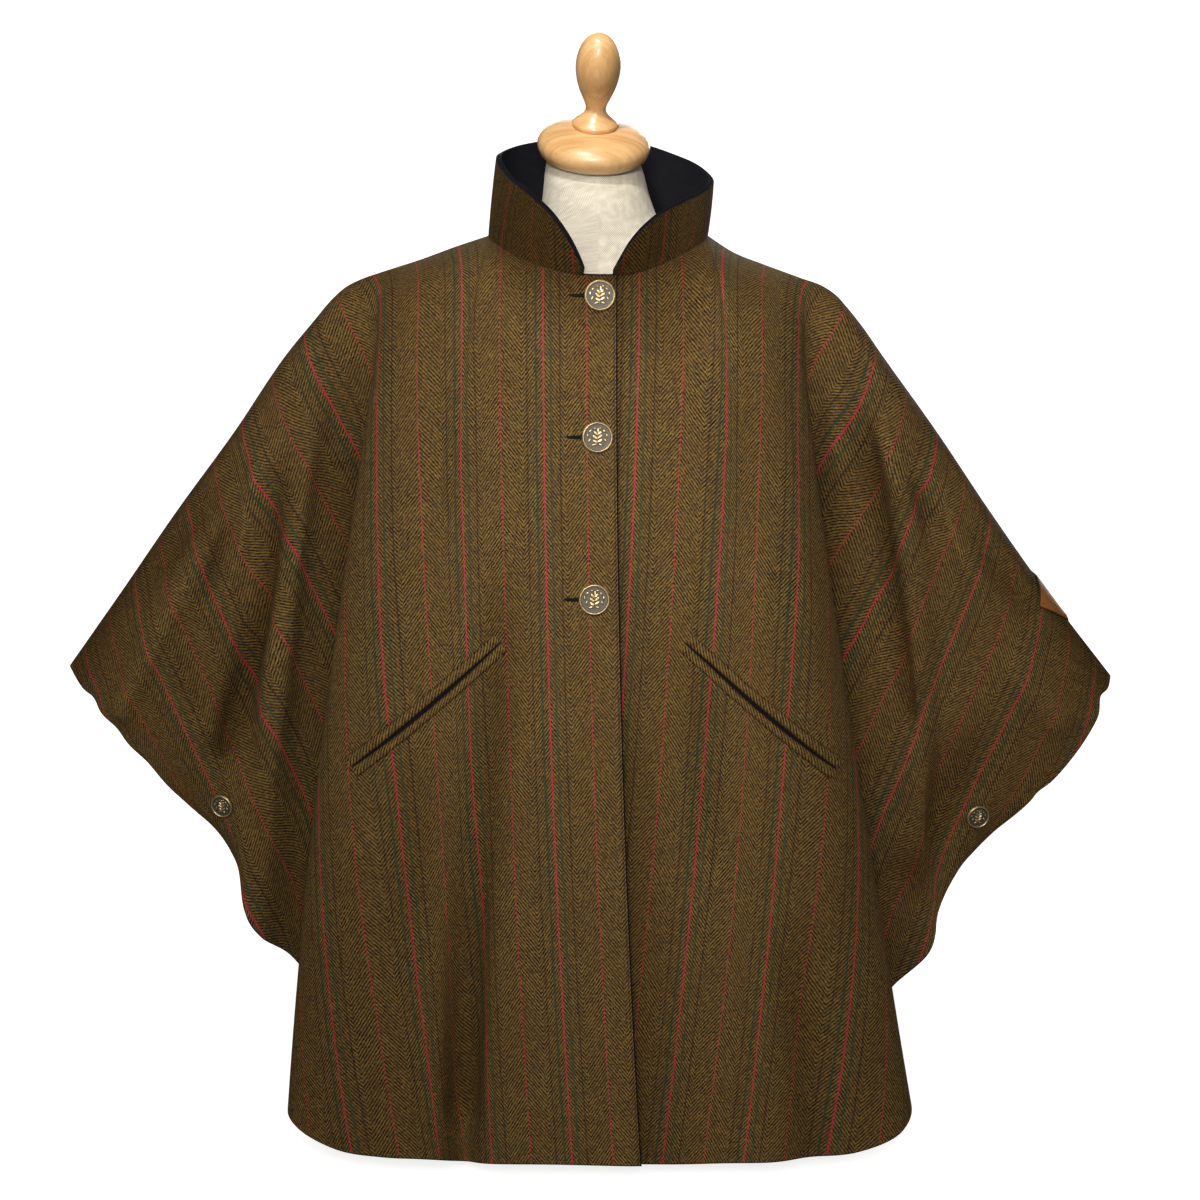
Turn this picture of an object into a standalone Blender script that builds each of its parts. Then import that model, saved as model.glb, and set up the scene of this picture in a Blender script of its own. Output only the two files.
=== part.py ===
"""A reversible tweed cape worn on a limbless countertop dress form.

Units of the tables are millimetres, the model is in metres, +Z is up and the wearer faces -Y.
"out" is measured from the centre to the side, "fore" towards the front, "up" from the floor.
"weft" is the distance across the flat cloth from the centre front, so a warp stripe keeps its weft.
"""
import math

import bmesh
import bpy
import numpy as np
from mathutils import Vector

MM = 0.001
CLOTH_WALL = 2.2        # tweed with its navy reverse
LINING_WALL = 1.4       # navy facing inside the collar
SEAM_GAP = 0.3          # between pieces that are sewn together
TURN_LENGTH = 36.0      # length in which the cloth turns over the shoulder and the overarm
TURN_HOLD = 18.0        # the cloth stays this far up against the straight line while it turns
NECK_HALF = 92.0        # half width of the neckline
NECK_FORE = 86.0        # centre front of the neckline
NECK_BACK = 64.0        # nape
NECK_SIDE_UP = 766.0
NECK_FRONT_DROP = 25.0
NAPE_RISE = 4.0
UNDERLAP_SET = 3.9      # the under front lies this far behind the upper one at the neck

POCKET_WELT = 8.6       # width of one jet
POCKET_SLIT = 2.2       # mouth between the two jets
WELT_WALL = 1.5
WELT_LIFT = 1.1
FRONT_BUTTON = 25.4
CUFF_BUTTON = 20.0
PATCH_SIDE = 38.0
PATCH_WALL = 1.2
PATCH_LIFT = 1.4
NEAR = 4.0              # a spot on the cloth is looked for within this distance
TORSO_SIDES = 28
CAP_TILT = 18.0         # the neck cap leans forward, in degrees
CAP_SIDEWAYS = 3.0      # and a little to the wearer's left
CAP_SEAT = (-4.0, 1.4, 831.4)
POST_RADIUS = 16.0
FOOT_HIGH = 18.0
TORSO_BASE_UP = 172.0

# Shoulder and overarm seam: weft, out, up
RIGHT_SEAM = (
    (92, 92, 766), (119, 119, 757), (149, 149, 746), (180, 180, 736), (202, 200, 729), (214, 210, 724),
    (230, 222, 714), (253, 240, 693), (280, 260, 669), (345, 306, 602), (421, 356, 534), (499, 404, 465),
    (572, 450, 400),
)
LEFT_SEAM = (
    (92, 92, 766), (112, 112, 753), (140, 139, 742), (170, 169, 731), (192, 190, 723), (204, 200, 716),
    (218, 210, 705), (234, 222, 690), (254, 236, 670), (322, 285, 602), (395, 331, 534), (472, 380, 465),
    (556, 437, 391),
)

# Sections from the front edge round to the cuff, each from the seam down to the hem:
# name, weft_top, shoulder round, mid_out, mid_fore, hem_out, hem_fore, hem_up, weft_hem
RIGHT_FRONT = (
    ("edge", -15, 0, -19, 147, -35, 181, 14, -15),
    ("centre", 0, 0, -4, 147, -21, 181, 14, 0),
    ("chest", 36, 6, 42, 147, 35, 180, 15, 60),
    ("flute_in", 58, 24, 80, 144, 88, 178, 15, 118),
    ("flute", 70, 34, 101, 141, 110, 152, 9, 152),
    ("flute_out", 82, 52, 121, 141, 130, 171, 16, 188),
    ("neck_side", 92, 88, 138, 140, 150, 171, 17, 212),
    ("panel", 106, 92, 160, 136, 180, 163, 16, 240),
    ("side", 126, 90, 189, 120, 216, 148, 17, 272),
    ("roll_front", 147, 84, 214, 97, 249, 124, 26, 308),
    ("roll", 162, 74, 225, 74, 262, 100, 37, 335),
    ("roll_back", 174, 62, 217, 52, 251, 74, 50, 364),
    ("fold", 186, 52, 187, 35, 213, 48, 78, 400),
    ("under", 198, 45, 203, 23, 236, 26, 114, 437),
    ("emerge", 213, 46, 233, 26, 263, 18, 150, 465),
    ("wing_ridge", 262, 48, 266, 46, 287, 36, 171, 480),
    ("wing_valley", 322, 46, 295, 32, 301, 40, 194, 482),
    ("wing_mid", 402, 44, 328, 38, 307, 24, 226, 486),
    ("wing_out", 482, 34, 362, 34, 315, 12, 241, 496),
    ("cuff", 572, 12, 393, 24, 326, 4, 257, 508),
)
LEFT_FRONT = (
    ("edge", -15, 0, -30, 141, -66, 175, 14, -15),
    ("centre", 0, 0, -15, 141, -51, 175, 14, 0),
    ("chest", 36, 6, 33, 141, 8, 175, 14, 60),
    ("flute_in", 58, 24, 72, 141, 65, 176, 14, 118),
    ("flute", 72, 36, 102, 139, 106, 173, 14, 162),
    ("neck_side", 92, 88, 130, 139, 144, 174, 15, 202),
    ("panel", 108, 92, 155, 133, 177, 165, 16, 236),
    ("side", 126, 88, 183, 116, 217, 149, 16, 270),
    ("roll_front", 143, 80, 200, 94, 252, 125, 23, 300),
    ("roll", 156, 70, 208, 72, 265, 100, 37, 325),
    ("roll_back", 166, 60, 201, 51, 256, 74, 50, 352),
    ("fold", 177, 52, 176, 35, 218, 48, 72, 388),
    ("under", 188, 45, 191, 23, 234, 26, 98, 422),
    ("emerge", 202, 46, 222, 27, 254, 18, 124, 448),
    ("wing_ridge", 248, 48, 260, 46, 283, 37, 159, 470),
    ("wing_valley", 310, 46, 291, 30, 291, 38, 196, 478),
    ("wing_mid", 386, 44, 324, 38, 308, 24, 226, 484),
    ("wing_out", 466, 34, 360, 34, 323, 12, 241, 494),
    ("cuff", 556, 12, 402, 24, 341, 4, 257, 508),
)
# The back from its centre to the side; its side folds and wings follow the front of each side.
BACK_PANEL = (
    ("centre", 0, 34, 0, 129, 0, 166, 16, 0),
    ("flute_a", 28, 36, 34, 129, 44, 152, 14, 54),
    ("ridge_a", 52, 44, 66, 130, 82, 171, 16, 102),
    ("flute_b", 74, 62, 96, 127, 118, 156, 14, 146),
    ("neck_side", 92, 88, 126, 128, 148, 168, 16, 190),
    ("panel", 108, 90, 154, 122, 178, 160, 17, 228),
    ("side", 127, 88, 184, 110, 208, 147, 18, 268),
)
BACK_SHARES = "roll_front"

# Collar sections, wearer's right front end to left front end: angle, rim_x, rim_fore, rim_up
COLLAR = (
    (8, -12, 91, 745), (20, -23, 91, 767), (34, -38, 83, 788), (52, -58, 60, 805), (72, -76, 27, 817),
    (90, -85, 0, 829), (112, -80, -29, 834), (136, -62, -50, 838), (160, -32, -63, 841), (180, 0, -66, 841),
    (200, 34, -63, 838), (224, 67, -49, 829), (248, 87, -27, 821), (270, 97, 0, 811), (290, 89, 28, 804),
    (308, 71, 59, 798), (326, 47, 83, 787), (340, 28, 92, 769), (352, 13, 92, 745),
)
COLLAR_ROWS = 4
COLLAR_BELLY = 0.6

# Rings of the form: up, half_width, fore, back
TORSO = (
    (172, 148, 102, 104), (230, 150, 104, 106), (310, 140, 98, 96), (400, 120, 86, 78), (480, 136, 92, 84),
    (555, 156, 99, 90), (620, 170, 93, 86), (672, 176, 85, 78), (704, 172, 76, 70), (720.2, 162, 68, 64),
    (733.2, 144, 60, 58), (749.2, 110, 54, 54), (766.2, 76, 50, 52), (782, 50, 48, 50),
)
# Rings of the neck, along the leaning neck: share of the way up, half_width, half_depth
NECK_RINGS = ((0.35, 45.5, 46.5), (0.7, 42.5, 43), (1.0, 39, 39))

# Turned profiles: radius, height
CAP_PROFILE = (
    (39.5, 0.0), (43.2, 2.0), (45.8, 5.6), (47.2, 10.5), (47.0, 13.7), (45.2, 17.6), (40.8, 21.6), (32.5, 25.2),
    (20.0, 27.6),
)
FINIAL_PROFILE = (
    (18.4, 0.0), (19.0, 1.2), (19.0, 3.4), (17.4, 5.4), (13.4, 8.6), (10.2, 11.8), (8.6, 14.8), (8.4, 16.8),
    (9.4, 20.4), (11.8, 26.0), (14.8, 33.0), (17.4, 42.0), (18.6, 51.0), (18.0, 61.0), (15.8, 69.0), (12.0, 75.6),
    (7.4, 80.0), (2.6, 82.2),
)
FOOT_PROFILE = ((122.0, 0.0), (122.0, 9.0), (118.0, 14.5), (106.0, 18.0))
# Button profile in shares of its radius: radius, height
BUTTON_PROFILE = ((0.72, 0.0), (0.96, 0.06), (1.0, 0.16), (0.96, 0.27), (0.86, 0.30), (0.8, 0.22))

# Fastenings and pockets where they lie on the fronts: x, up
FRONT_BUTTONS = ((1.5, 725), (-0.6, 611), (-3.0, 480))
RIGHT_CUFF_BUTTON = (-319, 284)
LEFT_CUFF_BUTTON = (323, 274)
RIGHT_POCKET = ((-80, 444), (-203, 337))
LEFT_POCKET = ((72, 444), (197, 334))
PATCH_WEFT = 477.0      # where the patch crosses the left overarm seam
PATCH_LEAN = 3.0        # its middle lies this far behind the seam
PATCH_TURN = 55.0       # from one side of the square to the seam, in degrees

TWEED = (0.085, 0.058, 0.020, 1)
NAVY = (0.010, 0.012, 0.022, 1)
BRASS = (0.30, 0.21, 0.09, 1)
LEATHER = (0.17, 0.075, 0.028, 1)
BEECH = (0.62, 0.36, 0.15, 1)
COVER = (0.74, 0.68, 0.56, 1)
IRON = (0.05, 0.05, 0.055, 1)


def material(name, colour, rough, metal=0.0):
    made = bpy.data.materials.new(name)
    made.use_nodes = True
    shader = made.node_tree.nodes["Principled BSDF"]
    shader.inputs["Base Color"].default_value = colour
    shader.inputs["Roughness"].default_value = rough
    shader.inputs["Metallic"].default_value = metal
    return made


def hermite(x, knots, values):
    """Smooth curve through a table of uneven steps."""
    knots = np.asarray(knots, float)
    values = np.asarray(values, float)
    slope = np.gradient(values, knots)
    x = np.clip(x, knots[0], knots[-1])
    i = np.clip(np.searchsorted(knots, x) - 1, 0, len(knots) - 2)
    step = knots[i + 1] - knots[i]
    s = (x - knots[i]) / step
    return (values[i] * (1 + 2 * s) * (1 - s) ** 2 + slope[i] * step * s * (1 - s) ** 2
            + values[i + 1] * s * s * (3 - 2 * s) + slope[i + 1] * step * s * s * (s - 1))


def between_rows(table, u):
    """Values between the rows of a table, row number u."""
    rows = np.arange(len(table))
    return np.stack([hermite(u, rows, column) for column in table.T], -1)


def neckline(weft, fore_half, rise):
    """Point of the neck oval at a distance across the cloth: out, fore, up."""
    turn = np.arcsin(np.clip(weft / NECK_HALF, -1, 1))
    return np.stack([weft, fore_half * np.cos(turn), NECK_SIDE_UP + rise * np.cos(turn) ** 2], -1)


def seam_point(seam, weft, neck_fore, rise, under):
    """Top edge of a panel: the neckline, then the shoulder and overarm seam."""
    seam = np.asarray(seam, float)
    round_neck = neckline(np.minimum(weft, NECK_HALF), neck_fore, rise)
    round_neck[..., 1] -= under * np.clip(1 - weft / 60.0, 0, 1)
    over = np.stack([hermite(weft, seam[:, 0], seam[:, 1]), np.zeros_like(weft),
                     hermite(weft, seam[:, 0], seam[:, 2])], -1)
    return np.where((weft < NECK_HALF)[..., None], round_neck, over)


class Panel:
    """A cut piece of the cape: its sections, its seam and the way it faces."""

    def __init__(self, rows, seam, side, facing, neck_fore, rise, under=0.0):
        self.names = [row[0] for row in rows]
        self.table = np.array([row[1:] for row in rows], float)
        self.seam = seam
        self.side = side
        self.facing = facing
        self.neck = (neck_fore, rise, under)

    def last(self):
        return len(self.table) - 1

    def point(self, u, t):
        """Outer face of the cloth at section u and share t of the way down."""
        u, t = np.broadcast_arrays(np.asarray(u, float), np.asarray(t, float))
        columns = np.moveaxis(between_rows(self.table, u), -1, 0)
        weft_top, turn, mid_out, mid_fore, hem_out, hem_fore, hem_up, _ = columns
        top = seam_point(self.seam, weft_top, *self.neck)
        top[..., 1] += SEAM_GAP / 2
        hem = np.stack([hem_out, hem_fore, hem_up], -1)
        mid = np.stack([mid_out, mid_fore - turn * 0.25, (top[..., 2] + hem_up) / 2], -1)
        t = t[..., None]
        place = top * (1 - t) * (1 - 2 * t) + mid * 4 * t * (1 - t) + hem * t * (2 * t - 1)
        t = t[..., 0]
        share = TURN_LENGTH / np.linalg.norm(hem - top, axis=-1)
        swell = (1 - t) ** 2 * (1 - np.exp(-t / share))
        rise = TURN_HOLD * np.minimum(turn / 40.0, 1.0) * swell
        lean = self.seam_lean(weft_top)
        place[..., 0] += rise * np.sin(lean)
        place[..., 1] += turn * swell
        place[..., 2] += rise * np.cos(lean)
        return place * np.array([self.side, -self.facing, 1.0])

    def seam_lean(self, weft):
        """Slope of the overarm seam; over the shoulder the cloth turns straight down."""
        seam = np.asarray(self.seam, float)
        slope = np.arctan2(-np.gradient(seam[:, 2]), np.gradient(seam[:, 1]))
        return hermite(weft, seam[:, 0], slope * np.clip((slope - 0.4) / 0.4, 0, 1))

    def normal(self, u, t):
        """Direction out of the cloth."""
        step_u = 0.02
        step_t = 0.004
        low_u = np.clip(u - step_u, 0, self.last())
        high_u = np.clip(u + step_u, 0, self.last())
        low_t = np.clip(t - step_t, 0, 1)
        high_t = np.clip(t + step_t, 0, 1)
        across = self.point(high_u, t) - self.point(low_u, t)
        down = self.point(u, high_t) - self.point(u, low_t)
        way = np.cross(down, across) * self.side * self.facing
        return way / np.linalg.norm(way, axis=-1, keepdims=True)

    def locate(self, x, up):
        """Section and share at which the cloth is met from the front at x, up."""
        u, t = np.meshgrid(np.linspace(0, self.last(), 381), np.linspace(0.0, 1, 161), indexing="ij")
        place = self.point(u, t)
        off = np.hypot(place[..., 0] - x, place[..., 2] - up)
        off = np.where(off < NEAR, place[..., 1], 1e3 + off)
        near = np.unravel_index(np.argmin(off), off.shape)
        at = np.array([u[near], t[near]])
        for _ in range(6):
            here = self.point(*at)[[0, 2]]
            du = (self.point(at[0] + 0.01, at[1])[[0, 2]] - here) / 0.01
            dt = (self.point(at[0], at[1] + 0.002)[[0, 2]] - here) / 0.002
            at = at + np.linalg.solve(np.stack([du, dt], -1), np.array([x, up]) - here)
        return at


def new_object(name, bm, mat):
    """Close the normals outwards and put the mesh in the scene."""
    bmesh.ops.recalc_face_normals(bm, faces=bm.faces[:])
    mesh = bpy.data.meshes.new(name)
    bm.to_mesh(mesh)
    bm.free()
    mesh.materials.append(mat)
    made = bpy.data.objects.new(name, mesh)
    bpy.context.scene.collection.objects.link(made)
    return made


def wall(name, outer, inner, mat):
    """A sheet of cloth as a thin closed wall between two grids of points."""
    bm = bmesh.new()
    rows, columns = outer.shape[:2]
    sheets = []
    for grid in (outer, inner):
        sheets.append([[bm.verts.new(Vector(grid[i, j] * MM)) for j in range(columns)] for i in range(rows)])
    for sheet in sheets:
        for i in range(rows - 1):
            for j in range(columns - 1):
                bm.faces.new((sheet[i][j], sheet[i + 1][j], sheet[i + 1][j + 1], sheet[i][j + 1]))
    rim = [(i, 0) for i in range(rows)] + [(rows - 1, j) for j in range(1, columns)]
    rim += [(i, columns - 1) for i in range(rows - 2, -1, -1)] + [(0, j) for j in range(columns - 2, 0, -1)]
    for (a, b), (c, d) in zip(rim, rim[1:] + rim[:1]):
        bm.faces.new((sheets[0][a][b], sheets[0][c][d], sheets[1][c][d], sheets[1][a][b]))
    return new_object(name, bm, mat)


def rings_solid(name, rings, mat):
    """A closed solid through rings of points."""
    bm = bmesh.new()
    loops = [[bm.verts.new(Vector(p * MM)) for p in ring] for ring in rings]
    count = len(loops[0])
    for low, high in zip(loops, loops[1:]):
        for k in range(count):
            n = (k + 1) % count
            bm.faces.new((low[k], low[n], high[n], high[k]))
    bm.faces.new(loops[0][::-1])
    bm.faces.new(loops[-1])
    return new_object(name, bm, mat)


def turned(name, profile, seat, axis, sides, mat):
    """A solid of revolution standing on a seat along an axis."""
    axis = Vector(axis).normalized()
    across = axis.orthogonal().normalized()
    aside = axis.cross(across)
    rings = []
    for radius, height in profile:
        ring = []
        for k in range(sides):
            turn = 2 * math.pi * k / sides
            ring.append(np.array(Vector(seat) + axis * height
                                 + (across * math.cos(turn) + aside * math.sin(turn)) * radius))
        rings.append(ring)
    return rings_solid(name, rings, mat)


def seam_normals(normals):
    """At a seam the cut edge stands square, so two panels meet along one face."""
    normals = normals.copy()
    normals[:, 0, 1] = 0.0
    normals /= np.linalg.norm(normals, axis=-1, keepdims=True)
    return normals


def panel_grid(panel, u, t):
    """Outer points and wall directions of a panel on a grid of sections."""
    u, t = np.meshgrid(u, t, indexing="ij")
    outer = panel.point(u, t)
    normals = panel.normal(u, t)
    weft_top = between_rows(panel.table, u[:, 0])[:, 0]
    on_seam = weft_top >= NECK_HALF
    normals[on_seam] = seam_normals(normals[on_seam])
    return outer, normals


def shares(count, ease):
    """Rows from the seam to the hem, closer together over the shoulder."""
    return np.linspace(0, 1, count) ** ease


def cut_front(name, panel, mat):
    u = np.arange(0, 2 * panel.last() + 1) / 2
    outer, normals = panel_grid(panel, u, shares(14, 1.45))
    return wall(name, outer, outer - normals * CLOTH_WALL, mat)


def cut_back(name, right, left, mat):
    u = np.arange(0, 2 * right.last() + 1) / 2
    v = np.arange(0, 2 * left.last() + 1) / 2
    t = shares(13, 1.45)
    outer_right, normals_right = panel_grid(right, u, t)
    outer_left, normals_left = panel_grid(left, v, t)
    outer = np.concatenate([outer_right[::-1], outer_left[1:]])
    normals = np.concatenate([normals_right[::-1], normals_left[1:]])
    return wall(name, outer, outer - normals * CLOTH_WALL, mat)


def neck_at(angle):
    """Neck oval round the wearer, 0 at the centre front and 90 on the wearer's right."""
    turn = np.radians(angle)
    ahead = np.cos(turn)
    fore = np.where(ahead > 0, NECK_FORE, NECK_BACK) * ahead
    rise = np.where(ahead > 0, -NECK_FRONT_DROP, NAPE_RISE) * ahead ** 2
    return np.stack([-NECK_HALF * np.sin(turn), -fore, NECK_SIDE_UP + rise], -1)


def collar_grid(angles, shares_up, inset):
    """Collar surface from the neck seam to its rim, moved in towards the neck."""
    rows = np.array(COLLAR, float)
    seam = neck_at(angles)
    rim = np.stack([hermite(angles, rows[:, 0], rows[:, 1]), -hermite(angles, rows[:, 0], rows[:, 2]),
                    hermite(angles, rows[:, 0], rows[:, 3])], -1)
    inward = -np.stack([seam[:, 0] / NECK_HALF, seam[:, 1] / NECK_FORE, np.zeros(len(angles))], -1)
    inward /= np.linalg.norm(inward, axis=-1, keepdims=True)
    s = np.asarray(shares_up)[None, :, None]
    belly = 4.0 * s * (1 - s) * COLLAR_BELLY * inward[:, None, :]
    return seam[:, None, :] * (1 - s) + rim[:, None, :] * s - belly + inset * inward[:, None, :]


def make_collar(mats):
    rows = np.array(COLLAR, float)
    angles = np.linspace(rows[0, 0], rows[-1, 0], 41)
    s = np.linspace(0, 1, COLLAR_ROWS)
    lift = np.array([0, 0, 0.45])
    start = 0.1
    wall("collar", collar_grid(angles, s, start) + lift,
         collar_grid(angles, s, start + CLOTH_WALL) + lift, mats["tweed"])
    start += CLOTH_WALL + SEAM_GAP * 2
    s = np.linspace(0.05, 1.025, COLLAR_ROWS)
    wall("collar_lining", collar_grid(angles, s, start) + lift,
         collar_grid(angles, s, start + LINING_WALL) + lift, mats["navy"])


def make_welt(name, panel, ends, low, high, mat):
    """One jet of a pocket, laid on the panel along the slanting mouth."""
    start = np.array(ends[0], float)
    end = np.array(ends[1], float)
    along = end - start
    aside = np.array([-along[1], along[0]]) / np.linalg.norm(along)
    if aside[1] < 0:
        aside = -aside
    outer = []
    inner = []
    for share in np.linspace(0, 1, 11):
        lane_out = []
        lane_in = []
        for off in (low, high):
            u, t = panel.locate(*(start + along * share + aside * off))
            place = panel.point(u, t)
            way = panel.normal(u, t)
            lane_in.append(place + way * WELT_LIFT)
            lane_out.append(place + way * (WELT_LIFT + WELT_WALL))
        outer.append(lane_out)
        inner.append(lane_in)
    return wall(name, np.array(outer), np.array(inner), mat)


def make_button(name, panel, spot, diameter, mat):
    u, t = panel.locate(*spot)
    way = panel.normal(u, t)
    seat = panel.point(u, t) + way * SEAM_GAP * 2
    half = diameter / 2
    return turned(name, [(r * half, h * half) for r, h in BUTTON_PROFILE], seat, way, 20, mat)


def overarm_row(panel, weft):
    return float(hermite(weft, panel.table[:, 0], np.arange(len(panel.table))))


def make_patch(front, back, mat):
    """A square of leather set cornerwise over the left overarm seam, made from both panels' points."""
    turn = math.radians(PATCH_TURN)
    u0 = overarm_row(front, PATCH_WEFT)
    along = front.point(u0 + 0.05, 0.0) - front.point(u0 - 0.05, 0.0)
    per_weft = np.linalg.norm(along) / (between_rows(front.table, np.array([u0 + 0.05]))[0, 0]
                                        - between_rows(front.table, np.array([u0 - 0.05]))[0, 0])
    along /= np.linalg.norm(along)
    outer = []
    inner = []
    for a in np.linspace(-0.5, 0.5, 7):
        lane_out = []
        lane_in = []
        for b in np.linspace(-0.5, 0.5, 7):
            run = PATCH_SIDE * (a * math.cos(turn) + b * math.sin(turn))
            behind = PATCH_SIDE * (b * math.cos(turn) - a * math.sin(turn)) + PATCH_LEAN
            panel = back if behind > 0 else front
            u = overarm_row(panel, PATCH_WEFT + run / per_weft)
            down = panel.point(u, 0.2) - panel.point(u, 0.0)
            long = np.linalg.norm(down)
            lean = down @ along / long
            t = 0.2 * abs(behind) / (long * math.sqrt(1 - lean ** 2))
            shift = lean * abs(behind) / math.sqrt(1 - lean ** 2)
            u = overarm_row(panel, PATCH_WEFT + (run - shift) / per_weft)
            place = panel.point(u, t)
            way = panel.normal(u, t)
            if abs(behind) < 3:
                way[1] = way[1] * abs(behind) / 3
                way /= np.linalg.norm(way)
            lane_in.append(place + way * PATCH_LIFT)
            lane_out.append(place + way * (PATCH_LIFT + PATCH_WALL))
        outer.append(lane_out)
        inner.append(lane_in)
    return wall("leather_patch", np.array(outer), np.array(inner), mat)


def make_form(mats):
    """Padded torso with its neck, the wooden cap and finial, the post and the foot."""
    tilt = math.radians(CAP_TILT)
    sideways = math.radians(CAP_SIDEWAYS)
    straight = math.cos(sideways)
    axis = np.array([math.sin(sideways), -math.sin(tilt) * straight, math.cos(tilt) * straight])
    seat = np.array(CAP_SEAT)
    turns = np.linspace(0, 2 * math.pi, TORSO_SIDES, endpoint=False)
    rings = []
    for up, half_width, fore, back in TORSO:
        depth = np.where(np.cos(turns) > 0, fore, back)
        level = np.full(TORSO_SIDES, up)
        rings.append(np.stack([half_width * np.sin(turns), -depth * np.cos(turns), level], -1))
    base = np.array([0.0, 0.0, TORSO[-1][0]])
    for share, half_width, half_depth in NECK_RINGS:
        lean = tilt * share
        centre = base * (1 - share) + (seat - axis * SEAM_GAP) * share
        ahead = np.array([0.0, -math.cos(lean), -math.sin(lean)])
        turn = sideways * share
        level = math.sin(turn)
        aside = half_width * np.array([math.cos(turn), level * math.sin(lean), -level * math.cos(lean)])
        rings.append(centre + np.outer(np.sin(turns), aside) + np.outer(np.cos(turns), ahead * half_depth))
    rings_solid("form_torso", rings, mats["cover"])
    turned("neck_cap", CAP_PROFILE, seat, axis, 28, mats["beech"])
    turned("finial", FINIAL_PROFILE, seat + axis * (CAP_PROFILE[-1][1] + SEAM_GAP), axis, 24, mats["beech"])
    post_base = FOOT_HIGH + SEAM_GAP
    post_high = TORSO_BASE_UP - SEAM_GAP - post_base
    post_profile = ((POST_RADIUS, 0.0), (POST_RADIUS, post_high))
    turned("form_post", post_profile, (0, 0, post_base), (0, 0, 1), 20, mats["iron"])
    turned("form_foot", FOOT_PROFILE, (0, 0, 0), (0, 0, 1), 40, mats["beech"])


def build():
    for old in list(bpy.data.objects):
        bpy.data.objects.remove(old, do_unlink=True)
    mats = {
        "tweed": material("striped_tweed", TWEED, 0.9),
        "navy": material("navy_reverse", NAVY, 0.85),
        "brass": material("antique_brass", BRASS, 0.38, 1.0),
        "leather": material("brown_leather", LEATHER, 0.55),
        "beech": material("varnished_beech", BEECH, 0.3),
        "cover": material("ecru_cover", COVER, 0.85),
        "iron": material("black_iron", IRON, 0.45, 1.0),
    }
    right = Panel(RIGHT_FRONT, RIGHT_SEAM, -1, 1, NECK_FORE, -NECK_FRONT_DROP)
    left = Panel(LEFT_FRONT, LEFT_SEAM, 1, 1, NECK_FORE, -NECK_FRONT_DROP, UNDERLAP_SET)
    halves = []
    for rows, seam, side in ((RIGHT_FRONT, RIGHT_SEAM, -1), (LEFT_FRONT, LEFT_SEAM, 1)):
        first = [row[0] for row in rows].index(BACK_SHARES)
        halves.append(Panel(BACK_PANEL + rows[first:], seam, side, -1, NECK_BACK, NAPE_RISE))
    cut_front("front_right", right, mats["tweed"])
    cut_front("front_left", left, mats["tweed"])
    cut_back("back", halves[0], halves[1], mats["tweed"])
    make_collar(mats)
    lip = POCKET_SLIT / 2
    for word, panel, ends in (("right", right, RIGHT_POCKET), ("left", left, LEFT_POCKET)):
        make_welt("pocket_upper_" + word, panel, ends, lip, lip + POCKET_WELT, mats["tweed"])
        make_welt("pocket_lower_" + word, panel, ends, -lip - POCKET_WELT, -lip, mats["tweed"])
    for number, spot in enumerate(FRONT_BUTTONS, 1):
        make_button("front_button_" + str(number), right, spot, FRONT_BUTTON, mats["brass"])
    make_button("cuff_button_right", right, RIGHT_CUFF_BUTTON, CUFF_BUTTON, mats["brass"])
    make_button("cuff_button_left", left, LEFT_CUFF_BUTTON, CUFF_BUTTON, mats["brass"])
    make_patch(left, halves[1], mats["leather"])
    make_form(mats)


build()
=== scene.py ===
# %% [markdown]
# # A reversible tweed cape on a dress form
# The object is a wide cape of striped tweed with a navy reverse, buttoned at the front and open at the
# sides below its winged sleeves. It rests on the shoulders of a limbless dress form with a turned cap.
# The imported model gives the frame: every piece made here sits where the model has it, in metres.

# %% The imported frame
import math

import bpy
import numpy as np
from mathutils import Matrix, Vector


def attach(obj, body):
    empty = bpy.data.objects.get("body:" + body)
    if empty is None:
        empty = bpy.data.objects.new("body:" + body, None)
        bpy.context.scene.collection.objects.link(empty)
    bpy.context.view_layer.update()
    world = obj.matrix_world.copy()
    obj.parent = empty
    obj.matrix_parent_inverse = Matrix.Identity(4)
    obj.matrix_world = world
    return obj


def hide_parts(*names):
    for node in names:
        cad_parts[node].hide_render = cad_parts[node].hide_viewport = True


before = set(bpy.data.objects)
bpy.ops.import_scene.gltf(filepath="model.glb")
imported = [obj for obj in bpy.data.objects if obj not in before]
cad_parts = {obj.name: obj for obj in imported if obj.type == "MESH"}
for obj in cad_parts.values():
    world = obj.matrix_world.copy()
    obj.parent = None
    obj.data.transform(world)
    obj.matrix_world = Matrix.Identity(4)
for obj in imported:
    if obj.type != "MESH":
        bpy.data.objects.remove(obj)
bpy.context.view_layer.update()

MM = 0.001

# %% [markdown]
# ## Camera, floor and light
# A long lens from a little above the chest gives the flat, calm view of a product picture. The floor is
# a plain pale disc and the room is white. A broad light from high in front serves the whole cape. Soft
# spots lift the chest, the hem and the cap, so the light falls off to the sides as it does in a studio,
# and a second broad light shows the back.

# %% Camera
LENS_MM = 127.06
SENSOR_MM = 36.0
CAMERA_SPOT = (0.0017, -3.54531, 1.08144)
CAMERA_PITCH = 80.0


def place(name, data):
    made = bpy.data.objects.new(name, data)
    bpy.context.scene.collection.objects.link(made)
    return made


camera_data = bpy.data.cameras.new("studio_camera")
camera_data.lens = LENS_MM
camera_data.sensor_width = SENSOR_MM
camera = place("studio_camera", camera_data)
camera.location = CAMERA_SPOT
camera.rotation_euler = (math.radians(CAMERA_PITCH), 0.0, 0.0)
bpy.context.scene.camera = camera
bpy.context.scene.view_settings.view_transform = "Standard"
print("camera at", tuple(round(v, 3) for v in camera.location))

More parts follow.
